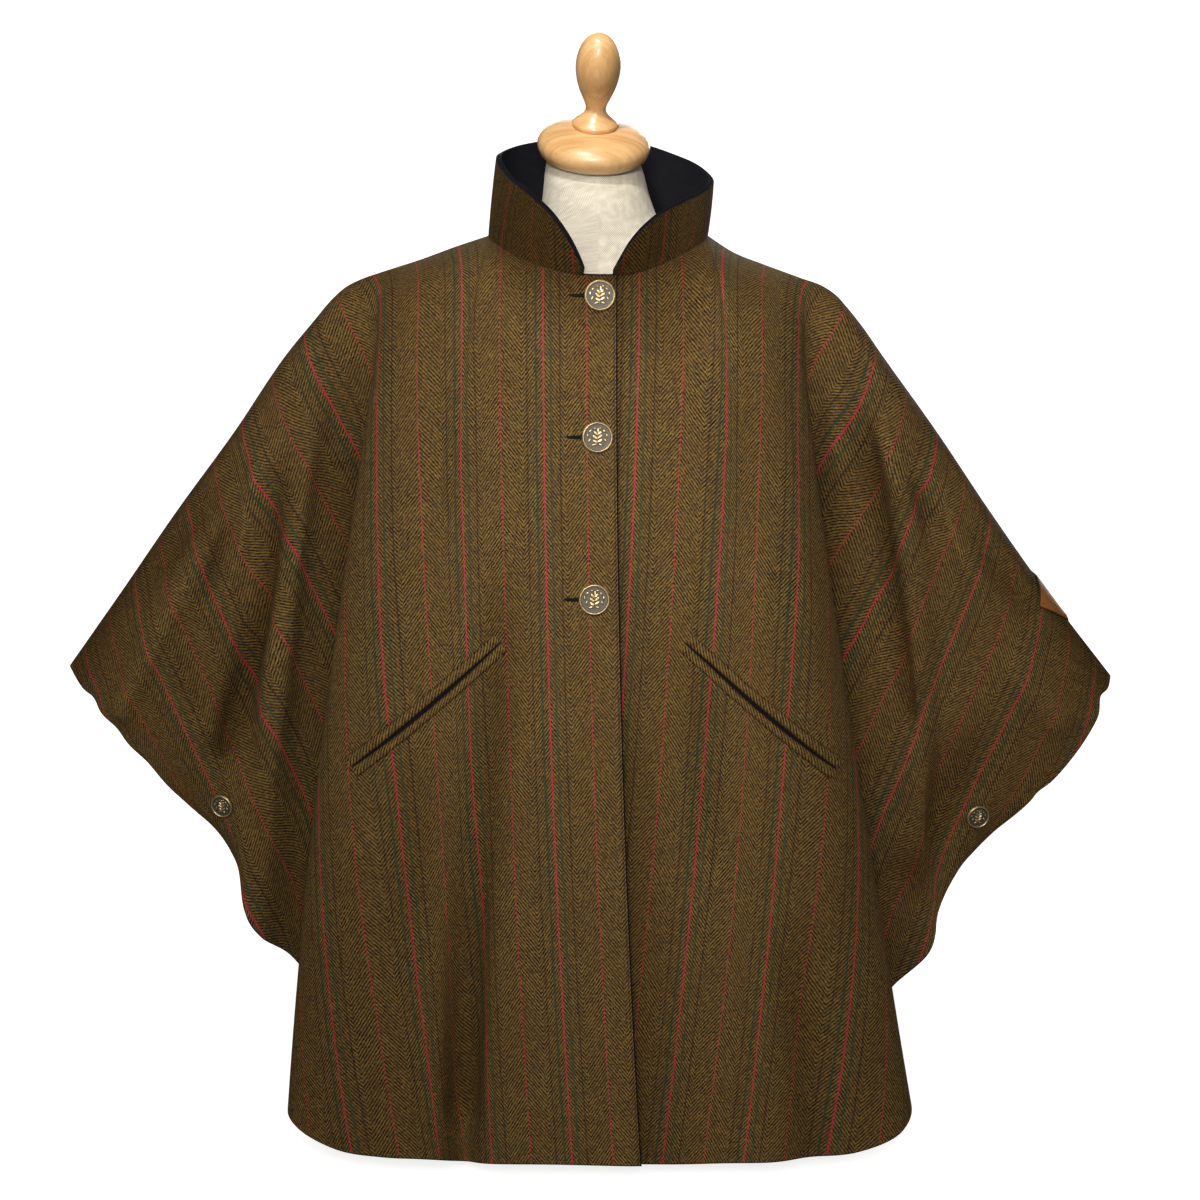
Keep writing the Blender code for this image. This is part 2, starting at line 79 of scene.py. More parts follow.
# %% Pale floor
FLOOR_RADIUS = 40.0
FLOOR_SIDES = 96
PAPER_BY_LIGHT = (0.30, 0.30, 0.295, 1)
PAPER_AS_SEEN = (0.95, 0.95, 0.945, 1)
PAPER_GLOW = 0.82

turns = np.linspace(0, 2 * math.pi, FLOOR_SIDES, endpoint=False)
rim = [(FLOOR_RADIUS * math.cos(a), FLOOR_RADIUS * math.sin(a), 0.0) for a in turns]
floor_mesh = bpy.data.meshes.new("studio_floor")
floor_mesh.from_pydata(rim, [], [tuple(range(FLOOR_SIDES))])
floor = place("studio_floor", floor_mesh)
paper = bpy.data.materials.new("pale_paper")
paper.use_nodes = True
nodes, link = paper.node_tree.nodes, paper.node_tree.links.new
shader = nodes["Principled BSDF"]
shader.inputs["Roughness"].default_value = 0.9
shader.inputs["Specular IOR Level"].default_value = 0.0
shader.inputs["Emission Strength"].default_value = 1.0
seen = nodes.new("ShaderNodeLightPath")
tone = nodes.new("ShaderNodeMix")
tone.data_type = "RGBA"
tone.inputs[6].default_value = PAPER_BY_LIGHT
tone.inputs[7].default_value = PAPER_AS_SEEN
glow = nodes.new("ShaderNodeMath")
glow.operation = "MULTIPLY"
glow.inputs[1].default_value = PAPER_GLOW
link(seen.outputs["Is Camera Ray"], tone.inputs[0])
link(tone.outputs[2], shader.inputs["Base Color"])
link(seen.outputs["Is Camera Ray"], glow.inputs[0])
link(glow.outputs[0], shader.inputs["Emission Color"])
floor_mesh.materials.append(paper)
print("floor radius", FLOOR_RADIUS)

# %% Lights
WARM = (1.0, 0.96, 0.88)
WHITE = (1.0, 1.0, 1.0)
# name, kind, power, colour, spread in degrees, soft size of a spot, where it stands, what it is aimed at
LIGHTS = (
    ("broad_light", "SUN", 1.36, WARM, 50.0, 0.0, (-0.38, -2.6, 1.9), (0.0, 0.0, 0.5)),
    ("chest_light", "SPOT", 200.0, WHITE, 18.0, 0.3, (-0.1, -2.3, 1.45), (0.0, -0.15, 0.67)),
    ("hem_light", "SPOT", 80.0, WHITE, 14.0, 0.3, (0.1, -2.4, 1.2), (0.01, -0.17, 0.18)),
    ("cap_light", "SPOT", 136.0, WHITE, 11.0, 0.12, (-0.25, -0.9, 2.2), (0.0, -0.02, 0.925)),
    ("back_light", "SUN", 2.2, WHITE, 40.0, 0.0, (0.35, 2.6, 0.85), (0.0, 0.0, 0.5)),
)
for name, kind, power, colour, spread, soft, stand, target in LIGHTS:
    data = bpy.data.lights.new(name, kind)
    data.energy = power
    data.color = colour
    if kind == "SUN":
        data.angle = math.radians(spread)
    else:
        data.shadow_soft_size = soft
        data.spot_size = math.radians(spread)
        data.spot_blend = 1.0
    lamp = place(name, data)
    lamp.location = stand
    lamp.rotation_euler = (Vector(target) - lamp.location).to_track_quat("-Z", "Y").to_euler()
print("lights", [row[0] for row in LIGHTS])

# %% White room
ROOM_FILL = 0.08
ROOM_WARMTH = (1, 0.88, 0.66, 1)

room = bpy.data.worlds.new("white_room")
room.use_nodes = True
bpy.context.scene.world = room
nodes, link = room.node_tree.nodes, room.node_tree.links.new
nodes.clear()
fill = nodes.new("ShaderNodeBackground")
fill.inputs["Strength"].default_value = ROOM_FILL
fill.inputs["Color"].default_value = ROOM_WARMTH
white = nodes.new("ShaderNodeBackground")
white.inputs["Color"].default_value = (1, 1, 1, 1)
seen = nodes.new("ShaderNodeLightPath")
either = nodes.new("ShaderNodeMixShader")
sky = nodes.new("ShaderNodeOutputWorld")
link(seen.outputs["Is Camera Ray"], either.inputs[0])
link(fill.outputs[0], either.inputs[1])
link(white.outputs[0], either.inputs[2])
link(either.outputs[0], sky.inputs["Surface"])
print("room fill", ROOM_FILL)

# %% [markdown]
# ## The cut of the cape
# A cape is three panels: two fronts and a back. Each is drawn here as a short table of sections. A section
# runs from the neckline, the shoulder or the overarm seam down to the hem, and the rows between the table's
# rows are filled in smoothly. Sizes are millimetres: "out" from the centre to the side, "fore" to the front,
# "up" from the floor. "weft" is the distance across the flat cloth, which a woven stripe keeps all the way.

# %% Sizes and sections
CLOTH_WALL = 2.2
LINING_WALL = 1.4
SEAM_GAP = 0.3
TURN_LENGTH = 36.0
TURN_HOLD = 18.0
NECK_HALF = 92.0
NECK_FORE = 86.0
NECK_BACK = 64.0
NECK_SIDE_UP = 766.0
NECK_FRONT_DROP = 25.0
NAPE_RISE = 4.0
UNDERLAP_SET = 3.9

# weft, out, up
RIGHT_SEAM = (
    (92, 92, 766), (119, 119, 757), (149, 149, 746), (180, 180, 736), (202, 200, 729), (214, 210, 724),
    (230, 222, 714), (253, 240, 693), (280, 260, 669), (345, 306, 602), (421, 356, 534), (499, 404, 465),
    (572, 450, 400),
)
LEFT_SEAM = (
    (92, 92, 766), (112, 112, 753), (140, 139, 742), (170, 169, 731), (192, 190, 723), (204, 200, 716),
    (218, 210, 705), (234, 222, 690), (254, 236, 670), (322, 285, 602), (395, 331, 534), (472, 380, 465),
    (556, 437, 391),
)
# name, weft_top, shoulder round, mid_out, mid_fore, hem_out, hem_fore, hem_up, weft_hem
RIGHT_FRONT = (
    ("edge", -15, 0, -19, 147, -35, 181, 14, -15),
    ("centre", 0, 0, -4, 147, -21, 181, 14, 0),
    ("chest", 36, 6, 42, 147, 35, 180, 15, 60),
    ("flute_in", 58, 24, 80, 144, 88, 178, 15, 118),
    ("flute", 70, 34, 101, 141, 110, 152, 9, 152),
    ("flute_out", 82, 52, 121, 141, 130, 171, 16, 188),
    ("neck_side", 92, 88, 138, 140, 150, 171, 17, 212),
    ("panel", 106, 92, 160, 136, 180, 163, 16, 240),
    ("side", 126, 90, 189, 120, 216, 148, 17, 272),
    ("roll_front", 147, 84, 214, 97, 249, 124, 26, 308),
    ("roll", 162, 74, 225, 74, 262, 100, 37, 335),
    ("roll_back", 174, 62, 217, 52, 251, 74, 50, 364),
    ("fold", 186, 52, 187, 35, 213, 48, 78, 400),
    ("under", 198, 45, 203, 23, 236, 26, 114, 437),
    ("emerge", 213, 46, 233, 26, 263, 18, 150, 465),
    ("wing_ridge", 262, 48, 266, 46, 287, 36, 171, 480),
    ("wing_valley", 322, 46, 295, 32, 301, 40, 194, 482),
    ("wing_mid", 402, 44, 328, 38, 307, 24, 226, 486),
    ("wing_out", 482, 34, 362, 34, 315, 12, 241, 496),
    ("cuff", 572, 12, 393, 24, 326, 4, 257, 508),
)
LEFT_FRONT = (
    ("edge", -15, 0, -30, 141, -66, 175, 14, -15),
    ("centre", 0, 0, -15, 141, -51, 175, 14, 0),
    ("chest", 36, 6, 33, 141, 8, 175, 14, 60),
    ("flute_in", 58, 24, 72, 141, 65, 176, 14, 118),
    ("flute", 72, 36, 102, 139, 106, 173, 14, 162),
    ("neck_side", 92, 88, 130, 139, 144, 174, 15, 202),
    ("panel", 108, 92, 155, 133, 177, 165, 16, 236),
    ("side", 126, 88, 183, 116, 217, 149, 16, 270),
    ("roll_front", 143, 80, 200, 94, 252, 125, 23, 300),
    ("roll", 156, 70, 208, 72, 265, 100, 37, 325),
    ("roll_back", 166, 60, 201, 51, 256, 74, 50, 352),
    ("fold", 177, 52, 176, 35, 218, 48, 72, 388),
    ("under", 188, 45, 191, 23, 234, 26, 98, 422),
    ("emerge", 202, 46, 222, 27, 254, 18, 124, 448),
    ("wing_ridge", 248, 48, 260, 46, 283, 37, 159, 470),
    ("wing_valley", 310, 46, 291, 30, 291, 38, 196, 478),
    ("wing_mid", 386, 44, 324, 38, 308, 24, 226, 484),
    ("wing_out", 466, 34, 360, 34, 323, 12, 241, 494),
    ("cuff", 556, 12, 402, 24, 341, 4, 257, 508),
)
BACK_PANEL = (
    ("centre", 0, 34, 0, 129, 0, 166, 16, 0),
    ("flute_a", 28, 36, 34, 129, 44, 152, 14, 54),
    ("ridge_a", 52, 44, 66, 130, 82, 171, 16, 102),
    ("flute_b", 74, 62, 96, 127, 118, 156, 14, 146),
    ("neck_side", 92, 88, 126, 128, 148, 168, 16, 190),
    ("panel", 108, 90, 154, 122, 178, 160, 17, 228),
    ("side", 127, 88, 184, 110, 208, 147, 18, 268),
)
BACK_SHARES = "roll_front"
print("sections", len(RIGHT_FRONT), len(LEFT_FRONT), len(BACK_PANEL))

# %% [markdown]
# ## From sections to cloth
# Between the rows a smooth curve through uneven steps keeps the cloth free of kinks. Over the shoulder and
# the overarm the cloth first turns, held up by its own stiffness, and then falls. Creases are soft troughs
# and ridges along lines on the cloth: each is placed one by one, and the cloth moves along its own normal.

# %% Smooth tables
def hermite(x, knots, values):
    knots = np.asarray(knots, float)
    values = np.asarray(values, float)
    slope = np.gradient(values, knots)
    x = np.clip(x, knots[0], knots[-1])
    i = np.clip(np.searchsorted(knots, x) - 1, 0, len(knots) - 2)
    step = knots[i + 1] - knots[i]
    s = (x - knots[i]) / step
    return (values[i] * (1 + 2 * s) * (1 - s) ** 2 + slope[i] * step * s * (1 - s) ** 2
            + values[i + 1] * s * s * (3 - 2 * s) + slope[i + 1] * step * s * s * (s - 1))


def between_rows(table, u):
    rows = np.arange(len(table))
    return np.stack([hermite(u, rows, column) for column in table.T], -1)


def neckline(bearing, fore_half, rise):
    ahead = np.cos(bearing)
    return np.stack([NECK_HALF * np.sin(bearing), fore_half * ahead, NECK_SIDE_UP + rise * ahead ** 2], -1)


UNDERLAP_FADES = 60.0


def seam_point(seam, weft, bearing, neck_fore, rise, under):
    seam = np.asarray(seam, float)
    round_neck = neckline(bearing, neck_fore, rise)
    round_neck[..., 1] -= under * np.clip(1 - weft / UNDERLAP_FADES, 0, 1)
    over = np.stack([hermite(weft, seam[:, 0], seam[:, 1]), np.zeros_like(weft),
                     hermite(weft, seam[:, 0], seam[:, 2])], -1)
    return np.where((weft < NECK_HALF)[..., None], round_neck, over)


def unit(vectors):
    return vectors / np.linalg.norm(vectors, axis=-1, keepdims=True)


print("side of the neck", neckline(math.pi / 2, NECK_FORE, -NECK_FRONT_DROP).round(1))

# %% The panel
# shoulder round at which the cloth is held up in full, share of it by which the middle is drawn in
TURN_FULL = 40.0
MID_DRAWN_IN = 0.25
# slope of the seam, in radians, from which the cloth is held outwards too
LEAN_STARTS = 0.4
# half steps for directions, in sections and in shares of the way down
STEP_U = 0.06
STEP_T = 0.004
# search for a spot: grid, what counts as near in millimetres, rounds, steps in sections and in shares
SEARCH_GRID = (381, 161)
SEARCH_NEAR = 4.0
SEARCH_ROUNDS = 6
SEARCH_U = 0.01
SEARCH_T = 0.002


class Panel:
    """A cut piece of the cape: sections, seam, side (-1 wearer's right), facing (1 front) and stripes."""

    def __init__(self, rows, seam, side, facing, neck, strong, repeat, way, join=0.0):
        self.table = np.array([row[1:] for row in rows], float)
        self.bearing = np.arcsin(np.clip(self.table[:, 0] / NECK_HALF, -1, 1))
        self.seam = seam
        self.side = side
        self.facing = facing
        self.neck = neck
        self.stripes = (strong, repeat, way, join)
        self.creases = []
        self.last = len(rows) - 1
        self.cache = None

    def base(self, u, t):
        """The cloth before it creases, at section u and share t of the way down."""
        u, t = np.broadcast_arrays(np.asarray(u, float), np.asarray(t, float))
        columns = np.moveaxis(between_rows(self.table, u), -1, 0)
        weft_top, turn, mid_out, mid_fore, hem_out, hem_fore, hem_up, _ = columns
        bearing = np.minimum(hermite(u, np.arange(self.last + 1), self.bearing), math.pi / 2)
        top = seam_point(self.seam, weft_top, bearing, *self.neck)
        top[..., 1] += SEAM_GAP / 2
        hem = np.stack([hem_out, hem_fore, hem_up], -1)
        mid = np.stack([mid_out, mid_fore - turn * MID_DRAWN_IN, (top[..., 2] + hem_up) / 2], -1)
        share = TURN_LENGTH / np.linalg.norm(hem - top, axis=-1)
        swell = (1 - t) ** 2 * (1 - np.exp(-t / share))
        hold = TURN_HOLD * np.minimum(turn / TURN_FULL, 1.0) * swell
        lean = self.seam_lean(weft_top)
        t = t[..., None]
        spot = top * (1 - t) * (1 - 2 * t) + mid * 4 * t * (1 - t) + hem * t * (2 * t - 1)
        spot[..., 0] += hold * np.sin(lean)
        spot[..., 1] += turn * swell
        spot[..., 2] += hold * np.cos(lean)
        return spot * np.array([self.side, -self.facing, 1.0])

    def seam_lean(self, weft):
        seam = np.asarray(self.seam, float)
        slope = np.arctan2(-np.gradient(seam[:, 2]), np.gradient(seam[:, 1]))
        return hermite(weft, seam[:, 0], slope * np.clip((slope - LEAN_STARTS) / LEAN_STARTS, 0, 1))

    def across(self, shape, u, t):
        """Direction out of a surface shape(u, t)."""
        low_u, high_u = [np.clip(u + step, 0, self.last) for step in (-STEP_U, STEP_U)]
        low_t, high_t = [np.clip(t + step, 0, 1) for step in (-STEP_T, STEP_T)]
        down = shape(u, high_t) - shape(u, low_t)
        return unit(np.cross(down, shape(high_u, t) - shape(low_u, t)) * self.side * self.facing)

    def point(self, u, t):
        spot = self.base(u, t)
        if not self.creases:
            return spot
        way = self.across(self.base, u, t)
        return spot + way * relief(self.creases, spot, way)[..., None]

    def normal(self, u, t):
        return self.across(self.point, u, t)

    def locate(self, x, up):
        """Section and share at which the cloth is met, from outside, at each x and up."""
        if self.cache is None:
            wide, tall = SEARCH_GRID
            grid = np.meshgrid(np.linspace(0, self.last, wide), np.linspace(0, 1, tall), indexing="ij")
            self.cache = (grid, self.base(*grid))
        (u, t), spot = self.cache
        found = []
        for one_x, one_up in zip(np.ravel(x), np.ravel(up)):
            off = np.hypot(spot[..., 0] - one_x, spot[..., 2] - one_up)
            off = np.where(off < SEARCH_NEAR, spot[..., 1] * self.facing, 1e3 + off)
            k = np.unravel_index(np.argmin(off), off.shape)
            found.append((u[k], t[k]))
        at = np.array(found)
        goal = np.stack([np.ravel(x), np.ravel(up)], -1)
        for _ in range(SEARCH_ROUNDS):
            here = self.point(at[:, 0], at[:, 1])[:, [0, 2]]
            du = (self.point(at[:, 0] + SEARCH_U, at[:, 1])[:, [0, 2]] - here) / SEARCH_U
            dt = (self.point(at[:, 0], at[:, 1] + SEARCH_T)[:, [0, 2]] - here) / SEARCH_T
            at = at + np.linalg.solve(np.stack([du, dt], -1), (goal - here)[..., None])[..., 0]
        return at

    def weave(self, weft, length):
        """Place on the cloth in stripe repeats: across, rising to the right as seen, and down."""
        strong, repeat, way, join = self.stripes
        across = way * (weft - strong) / repeat + join * np.clip(1 - weft / NECK_HALF, 0, 1)
        return np.stack([across, length / repeat], -1)


print("search grid", SEARCH_GRID)

# %% The fronts and the halves of the back
# distance of the first strong stripe from the centre, repeat of the stripes
RIGHT_STRIPES = (45.0, 72.3)
LEFT_STRIPES = (34.0, 71.6)
BACK_JOIN = 0.049


def back_rows(front):
    """The back's own sections, and then those that it shares with a front."""
    first = [row[0] for row in front].index(BACK_SHARES)
    return BACK_PANEL + front[first:]


front_neck = (NECK_FORE, -NECK_FRONT_DROP)
back_neck = (NECK_BACK, NAPE_RISE, 0.0)
right_front = Panel(RIGHT_FRONT, RIGHT_SEAM, -1, 1, (*front_neck, 0.0), *RIGHT_STRIPES, -1)
left_front = Panel(LEFT_FRONT, LEFT_SEAM, 1, 1, (*front_neck, UNDERLAP_SET), *LEFT_STRIPES, 1)
right_back = Panel(back_rows(RIGHT_FRONT), RIGHT_SEAM, -1, -1, back_neck, *RIGHT_STRIPES, 1, BACK_JOIN)
left_back = Panel(back_rows(LEFT_FRONT), LEFT_SEAM, 1, -1, back_neck, *LEFT_STRIPES, -1, -BACK_JOIN)
print("front edge at the hem", right_front.base(0.0, 1.0).round(1))

# %% [markdown]
# ## Creases
# Wool this heavy falls in broad, soft folds, with a few smaller ones where the wings hang from the arm. Each
# row places one crease by three spots on the cloth as seen from outside (x and up), with its half width and
# its depth: minus is a trough, plus a ridge. No two are alike in length, width or depth, as in real cloth.

# %% Crease tables
# name, x_a, up_a, x_b, up_b, x_c, up_c, width, depth, runs out over the hem
RIGHT_CREASES = (
    ("overarm", -296, 597, -352, 512, -411, 426, 13, -6.0, 0),
    ("arm_ridge_a", -226, 655, -250, 549, -269, 401, 12, 8.5, 0),
    ("arm_ridge_b", -265, 615, -293, 541, -315, 455, 11, 9.0, 0),
    ("arm_ridge_c", -331, 512, -364, 442, -404, 366, 12, 9.0, 1),
    ("arm_hollow", -296, 549, -315, 503, -328, 449, 9, -7.0, 0),
    ("elbow", -256, 609, -274, 491, -317, 332, 12, -11.0, 1),
    ("elbow_ridge", -257, 501, -269, 401, -284, 280, 13, 7.5, 0),
    ("tip_soft", -354, 429, -344, 386, -336, 348, 9, -3.0, 0),
    ("flute", -74, 540, -88, 350, -110, 60, 17, -7.0, 1),
    ("hip", -146, 400, -152, 280, -163, 120, 24, -4.0, 0),
    ("chest", -112, 690, -118, 600, -122, 500, 18, -2.5, 0),
)
LEFT_CREASES = (
    ("overarm", 282, 574, 330, 492, 390, 427, 12, -6.0, 0),
    ("arm_ridge_a", 194, 668, 200, 602, 210, 522, 11, 9.0, 0),
    ("arm_ridge_b", 230, 634, 243, 584, 256, 537, 9, 8.0, 0),
    ("arm_ridge_c", 269, 587, 299, 524, 321, 460, 11, 9.0, 0),
    ("arm_hollow", 264, 574, 274, 542, 284, 508, 8, -6.0, 0),
    ("elbow", 218, 634, 234, 541, 264, 367, 11, -10.0, 1),
    ("tip_ridge", 330, 428, 361, 390, 390, 358, 15, 8.0, 1),
    ("cuff_hollow", 328, 376, 300, 298, 266, 222, 20, -8.0, 1),
    ("front_soft", 84, 490, 86, 350, 90, 220, 18, -4.5, 0),
    ("front_ridge", 58, 440, 61, 316, 66, 150, 18, 3.0, 0),
    ("low", 158, 250, 170, 129, 178, 24, 20, -6.0, 1),
    ("chest", 106, 690, 113, 590, 116, 500, 18, -2.5, 0),
)
BACK_CREASES = (
    ("blade_right", -72, 650, -80, 520, -96, 360, 24, -8.5, 0),
    ("blade_left", 60, 640, 70, 500, 92, 320, 20, -7.0, 0),
    ("arm_a_right", -250, 610, -268, 560, -296, 490, 10, -8.0, 0),
    ("arm_b_right", -300, 560, -318, 505, -334, 440, 12, -7.0, 0),
    ("elbow_right", -262, 520, -272, 430, -300, 310, 15, -10.0, 1),
    ("tip_right", -346, 470, -366, 410, -384, 346, 12, -6.5, 1),
    ("arm_a_left", 232, 620, 240, 556, 246, 496, 11, -8.0, 0),
    ("arm_b_left", 282, 570, 292, 520, 300, 462, 9, -6.0, 0),
    ("elbow_left", 244, 520, 262, 430, 306, 312, 14, -10.0, 1),
    ("tip_left", 330, 470, 350, 414, 372, 350, 13, -7.0, 1),
    ("low_right", -150, 320, -158, 180, -170, 26, 20, -8.0, 1),
    ("low_left", 128, 350, 138, 200, 150, 24, 18, -7.5, 1),
)
print("creases on the fronts and the back", len(RIGHT_CREASES), len(LEFT_CREASES), len(BACK_CREASES))

# %% Laying the creases
# how fast a crease grows from its ends, how sharply it keeps to its layer, spots along its line
CREASE_EASE = 2.4
SAME_LAYER = 3.0
CREASE_SPOTS = 9


def relief(creases, spot, way):
    """Sum of the soft troughs and ridges at points of the cloth, on the layer that each crease lies on."""
    total = np.zeros(spot.shape[:-1])
    for line, face, width, depth, runs_out in creases:
        best = np.full(total.shape, 1e9)
        along = np.zeros(total.shape)
        for k, (a, b) in enumerate(zip(line, line[1:])):
            s = np.clip((spot - a) @ (b - a) / ((b - a) @ (b - a)), 0, 1)
            gap = np.linalg.norm(spot - a - s[..., None] * (b - a), axis=-1)
            near = gap < best
            best = np.where(near, gap, best)
            along = np.where(near, (k + s) / (len(line) - 1), along)
        ease = np.sin(np.pi / 2 * np.clip(along * CREASE_EASE, 0, 1)) ** 2
        if not runs_out:
            ease = ease * np.sin(np.pi / 2 * np.clip((1 - along) * CREASE_EASE, 0, 1)) ** 2
        same_layer = np.clip(way @ face * SAME_LAYER, 0, 1)
        total += depth * ease * same_layer * np.exp(-(best / width) ** 2)
    return total


def set_creases(panels, rows):
    """Lays each crease on the panel, or on the half of the back, whose side it is on."""
    lines = []
    for _, x_a, up_a, x_b, up_b, x_c, up_c, width, depth, runs_out in rows:
        for panel in panels:
            if len(panels) > 1 and (x_a + x_c) * panel.side < 0:
                continue
            at = panel.locate([x_a, x_b, x_c], [up_a, up_b, up_c])
            s = np.linspace(0, 1, CREASE_SPOTS)[:, None]
            way = at[0] * (1 - s) * (1 - 2 * s) + at[1] * 4 * s * (1 - s) + at[2] * s * (2 * s - 1)
            u, t = way[:, 0], np.clip(way[:, 1], 0, 1)
            face = unit(panel.across(panel.base, u, t).mean(axis=0))
            lines.append((panel.base(u, t), face, width, depth, runs_out))
    for panel in panels:
        panel.creases = lines


set_creases([right_front], RIGHT_CREASES)
set_creases([left_front], LEFT_CREASES)
set_creases([right_back, left_back], BACK_CREASES)
print("creases laid", len(right_front.creases), len(left_front.creases), len(right_back.creases))

# %% [markdown]
# ## Wiring shaders from code
# A material is a small circuit. Writing each node by hand is long, so this helper adds a node, plugs in
# what it is given, be it a number or another node's output, and hands back the output.

# %% A helper for shader circuits
class Wires:
    def __init__(self, tree):
        self.tree = tree

    def node(self, kind, **settings):
        made = self.tree.nodes.new(kind)
        for key, value in settings.items():
            setattr(made, key, value)
        return made

    def plug(self, value, socket):
        if isinstance(value, bpy.types.NodeSocket):
            self.tree.links.new(value, socket)
        else:
            socket.default_value = value

    def math(self, operation, *values):
        made = self.node("ShaderNodeMath", operation=operation)
        for value, socket in zip(values, made.inputs):
            self.plug(value, socket)
        return made.outputs[0]

    def ramp(self, value, low, high, to_low=0.0, to_high=1.0):
        made = self.node("ShaderNodeMapRange", interpolation_type="SMOOTHSTEP")
        ends = {"From Min": low, "From Max": high, "To Min": to_low, "To Max": to_high}
        for key, one in (("Value", value), *ends.items()):
            self.plug(one, made.inputs[key])
        return made.outputs["Result"]

    def mix(self, share, first, second, blend="MIX"):
        made = self.node("ShaderNodeMix", data_type="RGBA", blend_type=blend)
        self.plug(share, made.inputs[0])
        self.plug(first, made.inputs[6])
        self.plug(second, made.inputs[7])
        return made.outputs[2]

    def noise(self, vector, scale, detail=2.0, rough=0.5):
        made = self.node("ShaderNodeTexNoise")
        self.plug(vector, made.inputs["Vector"])
        made.inputs["Scale"].default_value = scale
        made.inputs["Detail"].default_value = detail
        made.inputs["Roughness"].default_value = rough
        return made.outputs["Fac"]

    def stretch(self, vector, scale, turn=(0, 0, 0)):
        made = self.node("ShaderNodeMapping")
        self.plug(vector, made.inputs["Vector"])
        made.inputs["Scale"].default_value = scale
        made.inputs["Rotation"].default_value = turn
        return made.outputs["Vector"]


def new_group(name, inputs, outputs):
    tree = bpy.data.node_groups.new(name, "ShaderNodeTree")
    for word, kind in inputs:
        tree.interface.new_socket(word, in_out="INPUT", socket_type=kind)
    for word, kind in outputs:
        tree.interface.new_socket(word, in_out="OUTPUT", socket_type=kind)
    wires = Wires(tree)
    return tree, wires, wires.node("NodeGroupInput"), wires.node("NodeGroupOutput")


def group_in(wires, tree, **inputs):
    made = wires.node("ShaderNodeGroup", node_tree=tree)
    for key, value in inputs.items():
        wires.plug(value, made.inputs[key])
    return made


def new_finish(name, rough, **sockets):
    """A material with its constant values set straight on the shader."""
    made = bpy.data.materials.new(name)
    made.use_nodes = True
    shader = made.node_tree.nodes["Principled BSDF"]
    shader.inputs["Roughness"].default_value = rough
    for key, value in sockets.items():
        shader.inputs[key.replace("_", " ")].default_value = value
    return made, Wires(made.node_tree), shader


def add_bump(wires, shader, height, strength, depth):
    bump = wires.node("ShaderNodeBump")
    bump.inputs["Strength"].default_value = strength
    bump.inputs["Distance"].default_value = depth
    wires.plug(height, bump.inputs["Height"])
    wires.plug(bump.outputs["Normal"], shader.inputs["Normal"])


print("shader helper ready")

# %% [markdown]
# ## The tweed
# The cloth is a herringbone twill: fine diagonals that change direction every quarter of the stripe repeat.
# Olive, gold and near-black yarns are mixed, so the ground looks brown-green from afar. A strong crimson
# thread, flanked by teal and navy ones, repeats every 72 mm, and a thinner red thread lies half way between.
# A coloured warp thread dips under the weft at each pick, so it shows as a row of dots. The pattern reads
# the piece's own UV map, which counts in stripe repeats, so it follows the cloth round every fold.

# %% Ground of the tweed
REPEAT_MM = 72.3
TWILL_ACROSS = REPEAT_MM / 2.8
TWILL_DOWN = REPEAT_MM / 3.6
YARN_PITCH = REPEAT_MM / 1.7
NEAR_BLACK = (0.014, 0.009, 0.011, 1)
OLIVE_GOLD = (0.308, 0.192, 0.050, 1)
RUST_FLECK = (0.115, 0.060, 0.024, 1)
MOSS_FLECK = (0.085, 0.088, 0.050, 1)

tweed_group, w, come, go = new_group(
    "herringbone_tweed", [("Repeats", "NodeSocketVector")],
    [("Colour", "NodeSocketColor"), ("Height", "NodeSocketFloat")])
split = w.node("ShaderNodeSeparateXYZ")
w.plug(come.outputs["Repeats"], split.inputs[0])
across, down = split.outputs[0], split.outputs[1]


def fibres(across_scale, down_scale, detail):
    """Noise on the cloth, stretched across or down it."""
    return w.noise(w.stretch(come.outputs["Repeats"], (across_scale, down_scale, 1)), 1.0, detail)


band = w.math("FRACT", w.math("MULTIPLY", across, 2.0))
slant = w.math("SUBTRACT", w.math("MULTIPLY", w.math("GREATER_THAN", band, 0.5), 2.0), 1.0)
diagonal = w.math("ADD", w.math("MULTIPLY", across, TWILL_ACROSS),
                  w.math("MULTIPLY", slant, w.math("MULTIPLY", down, TWILL_DOWN)))
diagonal = w.math("ADD", diagonal, w.math("MULTIPLY", fibres(40, 9, 2.0), 0.5))
twill = w.ramp(w.math("SINE", w.math("MULTIPLY", diagonal, 2 * math.pi)), -0.7, 0.7)
speck = fibres(95, 60, 1.0)
streak = fibres(70, 3.0, 2.0)
slub = fibres(5.0, 55, 2.0)
broad = fibres(1.3, 1.1, 3.0)
cell = w.node("ShaderNodeVectorMath", operation="FLOOR")
w.plug(w.stretch(come.outputs["Repeats"], (YARN_PITCH, YARN_PITCH, 1)), cell.inputs[0])
chance = w.node("ShaderNodeTexWhiteNoise", noise_dimensions="2D")
w.plug(cell.outputs[0], chance.inputs["Vector"])
hairs = w.math("MULTIPLY", w.ramp(speck, 0.3, 0.7), 0.25)
yarn = w.math("ADD", w.math("MULTIPLY", chance.outputs["Value"], 0.54), hairs)
light = w.ramp(w.math("ADD", w.math("MULTIPLY", twill, 0.64), yarn), 0.47, 0.95)
ground = w.mix(light, NEAR_BLACK, OLIVE_GOLD)
fleck = w.node("ShaderNodeSeparateXYZ")
w.plug(chance.outputs["Color"], fleck.inputs[0])
